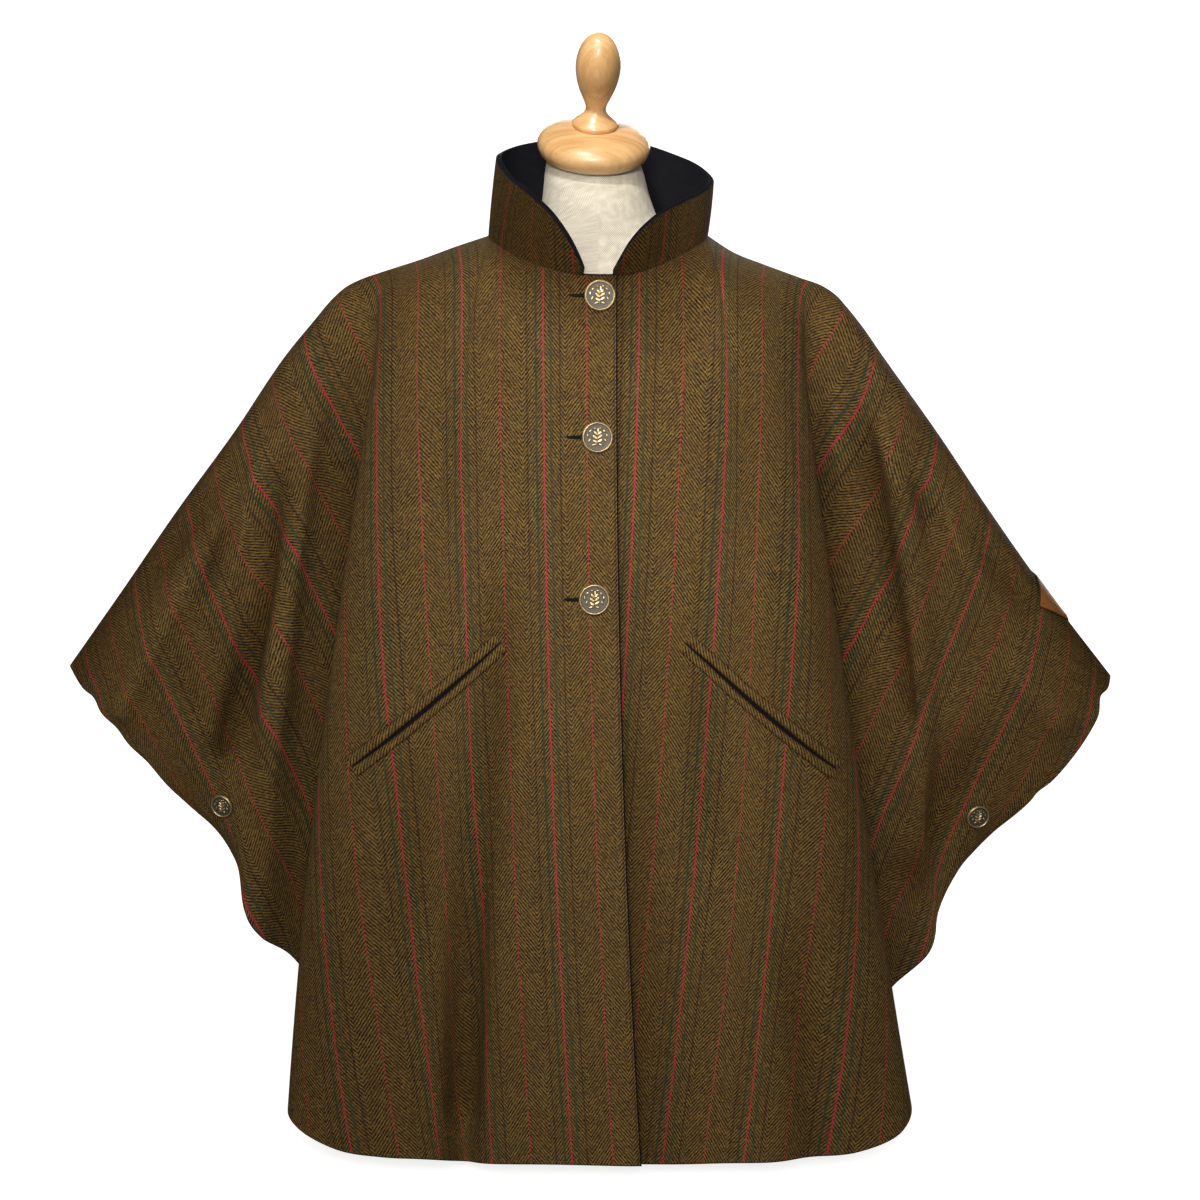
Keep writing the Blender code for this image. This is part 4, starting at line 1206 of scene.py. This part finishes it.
# %% Leaf relief
# leaves of the sprig: root x, root y, direction in degrees, length, half width
LEAVES = (
    (0.00, -0.42, 148, 0.40, 0.105), (0.01, -0.36, 32, 0.42, 0.110), (0.00, -0.14, 140, 0.46, 0.120),
    (0.02, -0.08, 38, 0.46, 0.115), (0.02, 0.14, 132, 0.40, 0.105), (0.04, 0.18, 46, 0.38, 0.100),
    (0.05, 0.34, 86, 0.36, 0.100), (-0.42, -0.62, 20, 0.34, 0.070), (0.40, -0.62, 160, 0.34, 0.070),
    (-0.66, -0.34, 62, 0.30, 0.075), (0.66, -0.36, 116, 0.30, 0.075), (-0.74, 0.02, 84, 0.28, 0.070),
    (0.73, 0.00, 98, 0.28, 0.070), (-0.62, 0.40, 40, 0.26, 0.065), (0.62, 0.38, 142, 0.26, 0.065),
    (-0.26, 0.66, 8, 0.20, 0.060), (0.34, 0.66, 172, 0.20, 0.060),
)


def sprig(x, y):
    """Height of the leaf sprig over the face of a button of radius 1."""
    bend = 0.05 * np.sin(2.4 * y)
    stem = 0.55 * np.exp(-((x - bend) / 0.035) ** 2) * np.clip((0.66 - np.abs(y)) / 0.05, 0, 1)
    total = stem
    for root_x, root_y, turn, long, half in LEAVES:
        c, s = math.cos(math.radians(turn)), math.sin(math.radians(turn))
        a = ((x - root_x) * c + (y - root_y) * s) / long
        b = -(x - root_x) * s + (y - root_y) * c
        wide = half * np.sqrt(np.clip(np.sin(np.pi * np.clip(a, 0, 1)), 0, 1)) + 1e-4
        blade = np.clip(1 - (b / wide) ** 2, 0, 1) ** 0.7 * ((a > 0) & (a < 1))
        blade = blade * (1 - 0.45 * np.exp(-(b / 0.014) ** 2))
        total = np.maximum(total, blade)
    return total


print("leaves", len(LEAVES))

# %% Shape of a button
BUTTON_LIFT = 0.6
# heights as shares of the radius
FACE_UP = 0.19
LEAF_UP = 0.075
RIM_UP = 0.10
BEAD_UP = 0.045
GRAIN_UP = 0.02
BACK_UP = 0.03
LEAF_SPREAD = 0.86
FACE_EDGE = 0.80
BEADS = 44
SIDE_PROFILE = ((1.0, 0.215), (1.0, 0.14), (0.97, 0.07), (0.74, BACK_UP))


def make_button(name, panel, spot, diameter, sides=96):
    """A cast button on a panel: rings of points from the middle of the face to the middle of the back."""
    at = panel.locate([spot[0]], [spot[1]])
    centre = panel.point(at[:, 0], at[:, 1])[0]
    axis = panel.normal(at[:, 0], at[:, 1])[0]
    across = unit(np.cross([0, 0, 1.0], axis))
    upright = np.cross(axis, across)
    turn = np.linspace(0, 2 * np.pi, sides, endpoint=False)
    rings = []
    crest = []
    for r in np.concatenate([np.linspace(0.03, FACE_EDGE, 34), np.linspace(0.82, 0.985, 9)]):
        x, y = r * np.cos(turn), r * np.sin(turn)
        rim_up = np.exp(-((r - 0.92) / 0.055) ** 2)
        bead = 0.5 * np.exp(-((r - FACE_EDGE) / 0.022) ** 2) * (0.5 + 0.5 * np.cos(BEADS * turn))
        leaf = sprig(x / LEAF_SPREAD, y / LEAF_SPREAD) * (r < FACE_EDGE)
        grain = 0.06 * np.sin(37 * x + 11 * y) * np.sin(29 * y - 17 * x)
        high = FACE_UP + LEAF_UP * leaf + RIM_UP * rim_up + BEAD_UP * bead + GRAIN_UP * grain
        rings.append((x, y, high))
        crest.append(np.clip(leaf * 0.9 + rim_up + bead * 0.8 + grain, 0, 1))
    for r, high in SIDE_PROFILE:
        rings.append((r * np.cos(turn), r * np.sin(turn), np.full(sides, high)))
        crest.append(np.full(sides, 0.75 if high > 0.1 else 0.2))
    half = diameter / 2
    points = [centre + axis * (BUTTON_LIFT + FACE_UP * half)]
    for x, y, high in rings:
        lie = x[:, None] * across + y[:, None] * upright + high[:, None] * axis
        points += list(centre + axis * BUTTON_LIFT + half * lie)
    points.append(centre + axis * (BUTTON_LIFT + BACK_UP * half))
    faces = [(0, 1 + k, 1 + (k + 1) % sides) for k in range(sides)]
    for i in range(len(rings) - 1):
        a, b = 1 + i * sides, 1 + (i + 1) * sides
        faces += [(a + k, b + k, b + (k + 1) % sides, a + (k + 1) % sides) for k in range(sides)]
    end = 1 + (len(rings) - 1) * sides
    faces += [(end + (k + 1) % sides, end + k, len(points) - 1) for k in range(sides)]
    mesh = bpy.data.meshes.new(name)
    mesh.from_pydata((np.array(points) * MM).tolist(), [], faces)
    mesh.attributes.new("raised", "FLOAT", "POINT").data.foreach_set(
        "value", np.concatenate([[0.1], *crest, [0.1]]))
    mesh.materials.append(brass)
    mesh.shade_smooth()
    return place(name, mesh)


print("beads round the face", BEADS)

# %% Front and cuff buttons
FRONT_BUTTON = 25.4
CUFF_BUTTON = 20.0
# x, up
FRONT_BUTTONS = ((1.5, 725), (-0.6, 611), (-3.0, 480))
RIGHT_CUFF_BUTTON = (-319, 284)
LEFT_CUFF_BUTTON = (323, 274)
buttons = {}
for number, spot in enumerate(FRONT_BUTTONS, 1):
    made = make_button("cast_button_" + str(number), right_front, spot, FRONT_BUTTON)
    buttons["front_button_" + str(number)] = made
for word, panel, spot in (("right", right_front, RIGHT_CUFF_BUTTON), ("left", left_front, LEFT_CUFF_BUTTON)):
    made = make_button("cast_cuff_button_" + word, panel, spot, CUFF_BUTTON)
    buttons["cuff_button_" + word] = made
print("buttons", {name: len(piece.data.polygons) for name, piece in buttons.items()})

# %% [markdown]
# ## Stitches with Geometry Nodes
# A buttonhole is a slit whose edge is bound with close stitches, and the leather patch is held with short
# tacks. Stitches repeat along a path, so Geometry Nodes place them: the input is a set of points that carry
# the way the stitch lies and the way out of the cloth, and the tree puts one small thread loop on each.

# %% A helper for geometry trees
def new_tree(name, inputs):
    """A geometry tree with its named inputs, and the ends that its nodes are wired between."""
    tree = bpy.data.node_groups.new(name, "GeometryNodeTree")
    for word, kind, value in (("Geometry", "Geometry", None), *inputs):
        socket = tree.interface.new_socket(word, in_out="INPUT", socket_type="NodeSocket" + kind)
        if value is not None:
            socket.default_value = value
    tree.interface.new_socket("Geometry", in_out="OUTPUT", socket_type="NodeSocketGeometry")
    w = Wires(tree)
    return tree, w, w.node("NodeGroupInput"), w.node("NodeGroupOutput")


def attribute_of(w, word, kind):
    made = w.node("GeometryNodeInputNamedAttribute", data_type=kind)
    made.inputs["Name"].default_value = word
    return made.outputs["Attribute"]


def end_tree(w, shape, finish, go):
    """Makes instances real, sets the material and ends the tree."""
    real = w.node("GeometryNodeRealizeInstances")
    paint = w.node("GeometryNodeSetMaterial")
    w.plug(shape, real.inputs["Geometry"])
    w.plug(real.outputs["Geometry"], paint.inputs["Geometry"])
    w.plug(finish, paint.inputs["Material"])
    w.plug(paint.outputs["Geometry"], go.inputs["Geometry"])


def run_tree(name, source, tree, values):
    """Runs a tree on an object and keeps the result as a plain mesh piece."""
    guide = place(name + "_guide", source)
    modifier = guide.modifiers.new("nodes", "NODES")
    modifier.node_group = tree
    for item in tree.interface.items_tree:
        if item.item_type == "SOCKET" and item.in_out == "INPUT" and item.name in values:
            modifier[item.identifier] = values[item.name]
    bpy.context.view_layer.update()
    ready = guide.evaluated_get(bpy.context.evaluated_depsgraph_get())
    mesh = bpy.data.meshes.new_from_object(ready)
    mesh.name = name
    guide.modifiers.remove(modifier)
    bpy.data.objects.remove(guide, do_unlink=True)
    mesh.shade_smooth()
    return place(name, mesh)


def stitch_points(name, spots, lies, outs):
    mesh = bpy.data.meshes.new(name)
    mesh.from_pydata((np.asarray(spots) * MM).tolist(), [], [])
    for word, vectors in (("lie", lies), ("out", outs)):
        data = mesh.attributes.new(word, "FLOAT_VECTOR", "POINT").data
        data.foreach_set("vector", np.asarray(vectors, float).ravel())
    return mesh


print("tree helpers ready")

# %% The stitch tree
STITCH_SEED = 7
LOOP_SEGMENTS = 8
LOOP_RINGS = 6

STITCHES, w, come, go = new_tree("stitches_on_points", (
    ("Length", "Float", 2.0 * MM), ("Thickness", "Float", 0.5 * MM), ("Uneven", "Float", 0.15),
    ("Thread", "Material", None)))
loop = w.node("GeometryNodeMeshUVSphere")
for word, value in (("Segments", LOOP_SEGMENTS), ("Rings", LOOP_RINGS), ("Radius", 0.5)):
    loop.inputs[word].default_value = value
along = w.node("FunctionNodeAlignRotationToVector", axis="X")
w.plug(attribute_of(w, "lie", "FLOAT_VECTOR"), along.inputs["Vector"])
upright = w.node("FunctionNodeAlignRotationToVector", axis="Z", pivot_axis="X")
w.plug(along.outputs["Rotation"], upright.inputs["Rotation"])
w.plug(attribute_of(w, "out", "FLOAT_VECTOR"), upright.inputs["Vector"])
chance = w.node("FunctionNodeRandomValue", data_type="FLOAT")
chance.inputs["Seed"].default_value = STITCH_SEED
least, most = [socket for socket in chance.inputs if socket.type == "VALUE" and socket.enabled][:2]
w.plug(w.math("SUBTRACT", 1.0, come.outputs["Uneven"]), least)
w.plug(w.math("ADD", 1.0, come.outputs["Uneven"]), most)
size = w.node("ShaderNodeCombineXYZ")
for word, socket in zip(("Length", "Thickness", "Thickness"), size.inputs):
    w.plug(come.outputs[word], socket)
grow = w.node("ShaderNodeVectorMath", operation="SCALE")
w.plug(size.outputs[0], grow.inputs[0])
w.plug([socket for socket in chance.outputs if socket.enabled][0], grow.inputs["Scale"])
spread = w.node("GeometryNodeInstanceOnPoints")
for value, word in ((come.outputs["Geometry"], "Points"), (loop.outputs["Mesh"], "Instance"),
                    (upright.outputs["Rotation"], "Rotation"), (grow.outputs[0], "Scale")):
    w.plug(value, spread.inputs[word])
end_tree(w, spread.outputs["Instances"], come.outputs["Thread"], go)
print("stitch tree nodes", len(STITCHES.nodes))

# %% Buttonholes
HOLE_LONG = 26.5
HOLE_STARTS = 3.4
HOLE_HALF = 0.9
HOLE_TAPER = 0.75
HOLE_STITCHES = 44
STITCH_LIFT = 0.25
LOOP_FACES = LOOP_SEGMENTS * LOOP_RINGS

gimp, wires, shader = new_finish("buttonhole_thread", 0.8, Specular_IOR_Level=0.12)
where = wires.node("ShaderNodeTexCoord").outputs["Object"]
tone = wires.mix(wires.noise(where, 900.0), (0.003, 0.004, 0.002, 1), (0.014, 0.017, 0.006, 1))
wires.plug(tone, shader.inputs["Base Color"])
trims = []
for number, (x, up) in enumerate(FRONT_BUTTONS, 1):
    s = np.linspace(0, 1, HOLE_STITCHES)
    bend = np.pi * s[3:-3:4]
    start = x + HOLE_STARTS
    end = start - HOLE_LONG
    taper = HOLE_HALF * (1 - HOLE_TAPER * s ** 3)
    lanes_x = np.concatenate([start - s * HOLE_LONG, end - 0.6 * np.sin(bend), start - s[::-1] * HOLE_LONG])
    lanes_up = np.concatenate([up + taper, up + 0.3 * np.cos(bend), up - taper[::-1]])
    at = right_front.locate(lanes_x, lanes_up)
    spots = right_front.point(at[:, 0], at[:, 1])
    outs = right_front.normal(at[:, 0], at[:, 1])
    lies = np.stack([lanes_x - np.clip(lanes_x, end, None), 0 * lanes_x, lanes_up - up], -1)
    source = stitch_points("hole_" + str(number), spots + outs * STITCH_LIFT, unit(lies), outs)
    values = {"Length": 2.3 * MM, "Thickness": 0.95 * MM, "Uneven": 0.18, "Thread": gimp}
    trims.append(run_tree("buttonhole_" + str(number), source, STITCHES, values))
print("buttonhole stitches", [len(piece.data.polygons) // LOOP_FACES for piece in trims])

# %% [markdown]
# ## The leather patch
# A small square of brown leather is set cornerwise over the left overarm seam. It is bare: only its grain,
# its darker edge and a short tack at each corner show.

# %% Leather
leather, wires, shader = new_finish("brown_leather", 0.52, Specular_IOR_Level=0.45)
where = wires.node("ShaderNodeTexCoord").outputs["Object"]
edge = wires.node("ShaderNodeAttribute", attribute_name="edge").outputs["Fac"]
cells = wires.node("ShaderNodeTexVoronoi", feature="DISTANCE_TO_EDGE")
cells.inputs["Scale"].default_value = 620.0
wires.plug(where, cells.inputs["Vector"])
tone = wires.mix(wires.noise(where, 60.0, 4.0), (0.260, 0.092, 0.020, 1), (0.480, 0.178, 0.040, 1))
tone = wires.mix(wires.ramp(edge, 0.93, 1.0), tone, (0.045, 0.019, 0.008, 1))
wires.plug(tone, shader.inputs["Base Color"])
add_bump(wires, shader, cells.outputs["Distance"], 0.35, 0.0003)
print("leather nodes", len(leather.node_tree.nodes))

# %% Leather patch
PATCH_SIDE = 38.0
PATCH_WALL = 1.2
PATCH_LIFT = 0.7
PATCH_WEFT = 477.0
PATCH_LEAN = 3.0
PATCH_TURN = math.radians(55.0)
PATCH_STEPS = 25
PATCH_EDGE = 0.86
PATCH_THINS = 0.45
PATCH_ROLL = (0.3, 0.3, 0.3, 0.3)
TACK_AT = 0.41
TACK_AIM = 0.9
ROW_STEP = 0.05
FALL_STEP = 0.2
RIDGE_HALF = 3.0


def overarm_row(panel, weft):
    return hermite(weft, panel.table[:, 0], np.arange(len(panel.table)))


def patch_spots(a, b):
    """Points and directions out of the cloth at shares a, b of the square, over both panels."""
    row = overarm_row(left_front, PATCH_WEFT)
    along = left_front.base(row + ROW_STEP, 0.0) - left_front.base(row - ROW_STEP, 0.0)
    ends = between_rows(left_front.table, np.array([row - ROW_STEP, row + ROW_STEP]))[:, 0]
    per_weft = np.linalg.norm(along) / (ends[1] - ends[0])
    along = unit(along)
    run = PATCH_SIDE * (a * math.cos(PATCH_TURN) + b * math.sin(PATCH_TURN))
    behind = PATCH_SIDE * (b * math.cos(PATCH_TURN) - a * math.sin(PATCH_TURN)) + PATCH_LEAN
    spots = np.zeros(a.shape + (3,))
    ways = np.zeros(a.shape + (3,))
    for panel, here in ((left_front, behind <= 0), (left_back, behind > 0)):
        far = np.abs(behind[here])
        u = overarm_row(panel, PATCH_WEFT + run[here] / per_weft)
        fall = panel.base(u, 0 * u + FALL_STEP) - panel.base(u, 0 * u)
        long = np.linalg.norm(fall, axis=-1)
        lean = fall @ along / long
        square = np.sqrt(1 - lean ** 2)
        t = FALL_STEP * far / (long * square)
        u = overarm_row(panel, PATCH_WEFT + (run[here] - lean * far / square) / per_weft)
        way = panel.normal(u, t)
        way[:, 1] *= np.clip(far / RIDGE_HALF, 0, 1)
        spots[here] = panel.point(u, t)
        ways[here] = unit(way)
    return spots, ways


shares = np.linspace(-0.5, 0.5, PATCH_STEPS)
square = np.meshgrid(shares, shares, indexing="ij")
spot, way = patch_spots(*square)
near_edge = np.maximum(np.abs(shares)[:, None], np.abs(shares)[None, :]) * 2
crown = PATCH_WALL * (1 - PATCH_THINS * rising(near_edge, PATCH_EDGE, 1) ** 2)
patch_piece = grid_shell("leather_square", spot + way * (PATCH_LIFT + crown)[..., None],
                         spot + way * PATCH_LIFT, np.stack(square, -1), [leather], PATCH_ROLL)
dark = np.concatenate([near_edge.ravel(), np.ones(len(patch_piece.data.vertices) - near_edge.size)])
patch_piece.data.attributes.new("edge", "FLOAT", "POINT").data.foreach_set("value", dark)
corners = TACK_AT * np.array([(-1, -1), (-1, 1), (1, -1), (1, 1)])
spot, way = patch_spots(*corners.T)
lies = unit(patch_spots(*(corners.T * TACK_AIM))[0] - spot)
source = stitch_points("tacks", spot + way * (PATCH_LIFT + PATCH_WALL), lies, way)
values = {"Length": 3.0 * MM, "Thickness": 0.8 * MM, "Uneven": 0.1, "Thread": gimp}
patch_tacks = run_tree("patch_tacks", source, STITCHES, values)
print("patch faces", len(patch_piece.data.polygons))

# %% [markdown]
# ## The dress form
# Under the cape stands a foam torso with a linen cover. Its neck leans a little forward and carries a
# turned beech cap with an egg-shaped finial. A short iron post and a round beech foot hold it up.

# %% Linen, beech and iron
linen, wires, shader = new_finish("ecru_cover", 0.9, Sheen_Weight=0.1, Specular_IOR_Level=0.25)
laid = wires.node("ShaderNodeUVMap", uv_map="weave").outputs["UV"]
cloth = group_in(wires, plain_group, Metres=laid, Threads=520.0)
tone = wires.mix(cloth.outputs["Over"], (0.50, 0.44, 0.34, 1), (0.76, 0.70, 0.58, 1))
wires.plug(tone, shader.inputs["Base Color"])
add_bump(wires, shader, cloth.outputs["Height"], 0.4, 0.0003)

GRAIN_LEAN = math.radians(-18)
beech, wires, shader = new_finish("varnished_beech", 0.36, Coat_Weight=0.7, Coat_Roughness=0.2)
where = wires.node("ShaderNodeTexCoord").outputs["Object"]
where = wires.stretch(where, (1, 1, 1), (GRAIN_LEAN, 0, 0))
rings = wires.noise(wires.stretch(where, (26, 190, 26)), 1.0, 4.0, 0.55)
tone = wires.mix(wires.ramp(rings, 0.32, 0.68), (0.62, 0.335, 0.125, 1), (0.80, 0.485, 0.215, 1))
fleck = wires.noise(wires.stretch(where, (700, 700, 90)), 1.0, 1.0)
tone = wires.mix(wires.ramp(fleck, 0.62, 0.74, 0.0, 0.35), tone, (0.40, 0.185, 0.060, 1))
wires.plug(tone, shader.inputs["Base Color"])
add_bump(wires, shader, fleck, 0.08, 0.0002)

iron, wires, shader = new_finish("black_iron", 0.45, Metallic=1.0)
where = wires.node("ShaderNodeTexCoord").outputs["Object"]
cast = wires.noise(where, 240.0, 4.0)
wires.plug(wires.mix(cast, (0.025, 0.025, 0.028, 1), (0.075, 0.075, 0.080, 1)), shader.inputs["Base Color"])
add_bump(wires, shader, cast, 0.3, 0.0003)
print("form finishes", linen.name, beech.name, iron.name)

# %% Rings of the torso and its neck
# up, half width, fore, back
TORSO = (
    (172, 148, 102, 104), (230, 150, 104, 106), (310, 140, 98, 96), (400, 120, 86, 78), (480, 136, 92, 84),
    (555, 156, 99, 90), (620, 170, 93, 86), (672, 176, 85, 78), (704, 172, 76, 70), (720.2, 162, 68, 64),
    (733.2, 144, 60, 58), (749.2, 110, 54, 54), (766.2, 76, 50, 52), (782, 50, 48, 50),
)
# share of the way up the neck, half width, half depth
NECK_RINGS = ((0.0, 50.0, 49.0), (0.35, 45.5, 46.5), (0.7, 42.5, 43), (1.0, 39, 39))
CAP_TILT = math.radians(18.0)
CAP_SIDEWAYS = math.radians(3.0)
CAP_SEAT = np.array([-4.0, 1.4, 831.4])
CAP_AXIS = np.array([math.tan(CAP_SIDEWAYS), -math.sin(CAP_TILT), math.cos(CAP_TILT)])
CAP_AXIS = CAP_AXIS * math.cos(CAP_SIDEWAYS)
PADDING_IN = 0.8
TORSO_SIDES = 112
TORSO_LEVELS = np.concatenate([np.linspace(172, 704, 60), np.linspace(708, 782, 24)])


def torso_rings(sides):
    turn = np.linspace(0, 2 * np.pi, sides + 1)
    rows = np.array(TORSO, float)
    rings = []
    for up in TORSO_LEVELS:
        wide, fore, back = [hermite(up, rows[:, 0], rows[:, k]) - PADDING_IN for k in (1, 2, 3)]
        depth = np.where(np.cos(turn) > 0, fore, back)
        rings.append(np.stack([wide * np.sin(turn), -depth * np.cos(turn), np.full(sides + 1, up)], -1))
    base = np.array([0.0, 0.0, TORSO[-1][0]])
    shares_up, wides, deeps = np.array(NECK_RINGS).T
    for share in np.linspace(0.15, 1.0, 10):
        lean = CAP_TILT * share
        centre = base * (1 - share) + (CAP_SEAT - CAP_AXIS * SEAM_GAP) * share
        ahead = np.array([0.0, -math.cos(lean), -math.sin(lean)])
        ahead = ahead * (hermite(share, shares_up, deeps) - PADDING_IN)
        level = math.sin(CAP_SIDEWAYS * share)
        aside = np.array([1.0, level * math.sin(lean), -level * math.cos(lean)])
        aside = unit(aside) * (hermite(share, shares_up, wides) - PADDING_IN)
        rings.append(centre + np.outer(np.sin(turn), aside) + np.outer(np.cos(turn), ahead))
    return np.array(rings)


rings = torso_rings(TORSO_SIDES)
print("torso rings", len(rings))

# %% Covered torso
TORSO_SHARP = 50.0
levels, around = rings.shape[0], rings.shape[1] - 1
points = rings[:, :-1].reshape(-1, 3) * MM
faces = []
for i in range(levels - 1):
    for k in range(around):
        n = (k + 1) % around
        faces.append((i * around + k, i * around + n, (i + 1) * around + n, (i + 1) * around + k))
faces.append(tuple(range(around - 1, -1, -1)))
faces.append(tuple((levels - 1) * around + k for k in range(around)))
torso_mesh = bpy.data.meshes.new("covered_torso")
torso_mesh.from_pydata(points.tolist(), [], faces)
steps = np.linalg.norm(np.diff(rings, axis=1), axis=-1)
girth = np.concatenate([np.zeros((levels, 1)), np.cumsum(steps, axis=1)], 1)
layer = torso_mesh.uv_layers.new(name="weave").data
for i in range(levels - 1):
    for k in range(around):
        for corner, (a, b) in enumerate(((i, k), (i, k + 1), (i + 1, k + 1), (i + 1, k))):
            layer[(i * around + k) * 4 + corner].uv = (girth[a, b] * MM, rings[a, 0, 2] * MM)
torso_mesh.materials.append(linen)
torso_mesh.shade_smooth()
torso_mesh.set_sharp_from_angle(angle=math.radians(TORSO_SHARP))
torso = place("covered_torso", torso_mesh)
print("torso faces", len(faces))

# %% [markdown]
# ## Turned pieces with Geometry Nodes
# Turned wood follows one rule: a radius for each height on an axis. The tree takes a line of points that
# carry their radius, makes it a curve, and sweeps a circle along it.

# %% The turning tree
TURNED_SIDES = 96
TURNED_SHARP = 40.0

TURNING, w, come, go = new_tree("turned_on_axis", (
    ("Sides", "Int", TURNED_SIDES), ("Finish", "Material", None)))
axis = w.node("GeometryNodeMeshToCurve")
w.plug(come.outputs["Geometry"], axis.inputs["Mesh"])
circle = w.node("GeometryNodeCurvePrimitiveCircle")
circle.inputs["Radius"].default_value = 1.0
w.plug(come.outputs["Sides"], circle.inputs["Resolution"])
sweep = w.node("GeometryNodeCurveToMesh")
sweep.inputs["Fill Caps"].default_value = True
w.plug(axis.outputs["Curve"], sweep.inputs["Curve"])
w.plug(circle.outputs["Curve"], sweep.inputs["Profile Curve"])
w.plug(attribute_of(w, "girth", "FLOAT"), sweep.inputs["Scale"])
end_tree(w, sweep.outputs["Mesh"], come.outputs["Finish"], go)
print("turning tree nodes", len(TURNING.nodes))

# %% Turned cap, finial, foot and post
def turn_piece(name, profile, seat, axis, finish, fine=64):
    """Turns a profile of radius and height, filled in smoothly where fine is given."""
    profile = np.array(profile, float)
    if fine:
        heights = np.unique(np.concatenate([np.linspace(0, profile[-1, 1], fine), profile[:, 1]]))
        profile = np.stack([hermite(heights, profile[:, 1], profile[:, 0]), heights], -1)
    mesh = bpy.data.meshes.new(name)
    points = np.asarray(seat) + np.outer(profile[:, 1], axis)
    mesh.from_pydata((points * MM).tolist(), [(k, k + 1) for k in range(len(points) - 1)], [])
    mesh.attributes.new("girth", "FLOAT", "POINT").data.foreach_set("value", profile[:, 0] * MM)
    piece = run_tree(name, mesh, TURNING, {"Sides": TURNED_SIDES, "Finish": finish})
    piece.data.set_sharp_from_angle(angle=math.radians(TURNED_SHARP))
    return piece


# radius, height
CAP_PROFILE = (
    (39.5, 0.0), (43.2, 2.0), (45.8, 5.6), (47.2, 10.5), (47.0, 13.7),
    (45.2, 17.6), (40.8, 21.6), (32.5, 25.2), (20.0, 27.6),
)
FINIAL_PROFILE = (
    (18.4, 0.0), (19.0, 1.2), (19.0, 3.4), (17.4, 5.4), (13.4, 8.6), (10.2, 11.8),
    (8.6, 14.8), (8.4, 16.8), (9.4, 20.4), (11.8, 26.0), (14.8, 33.0), (17.4, 42.0),
    (18.6, 51.0), (18.0, 61.0), (15.8, 69.0), (12.0, 75.6), (7.4, 80.0), (2.6, 82.2),
)
FOOT_PROFILE = ((122.0, 0.0), (122.0, 9.0), (118.0, 14.5), (106.0, 18.0))
POST_PROFILE = ((16.0, 0.0), (16.0, 153.4))
POST_SEAT = (0, 0, FOOT_PROFILE[-1][1] + SEAM_GAP)
UPRIGHT = np.array([0, 0, 1.0])
finial_seat = CAP_SEAT + CAP_AXIS * (CAP_PROFILE[-1][1] + SEAM_GAP)
form = {
    "neck_cap": turn_piece("turned_cap", CAP_PROFILE, CAP_SEAT, CAP_AXIS, beech),
    "finial": turn_piece("turned_finial", FINIAL_PROFILE, finial_seat, CAP_AXIS, beech, 90),
    "form_foot": turn_piece("turned_foot", FOOT_PROFILE, (0, 0, 0), UPRIGHT, beech, 0),
    "form_post": turn_piece("iron_post", POST_PROFILE, POST_SEAT, UPRIGHT, iron, 0),
}
print("turned", {name: len(piece.data.polygons) for name, piece in form.items()})

# %% [markdown]
# ## Joining the pieces to the model
# Every piece rides on the model's one body and stands for the plain solid that it replaces. Each sheet of
# cloth states the size it was cut to.

# %% Riding, replacing and slots
for node, piece in cape.items():
    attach(piece, "root")
    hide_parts(node)
for node, piece in jets.items():
    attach(piece, "root")
    if node.startswith("pocket"):
        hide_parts(node)
for node, piece in list(buttons.items()) + list(form.items()):
    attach(piece, "root")
    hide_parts(node)
for piece in trims + [patch_tacks]:
    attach(piece, "root")
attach(patch_piece, "root")
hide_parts("leather_patch")
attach(torso, "root")
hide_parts("form_torso")
print("pieces joined", len(cape) + len(jets) + len(buttons) + len(form) + len(trims) + 3)

# %% Sheets of cloth
for word in ("right", "left"):
    on_it = [piece for node, piece in jets.items() if node.endswith(word)]
    on_it += trims if word == "right" else [patch_piece]
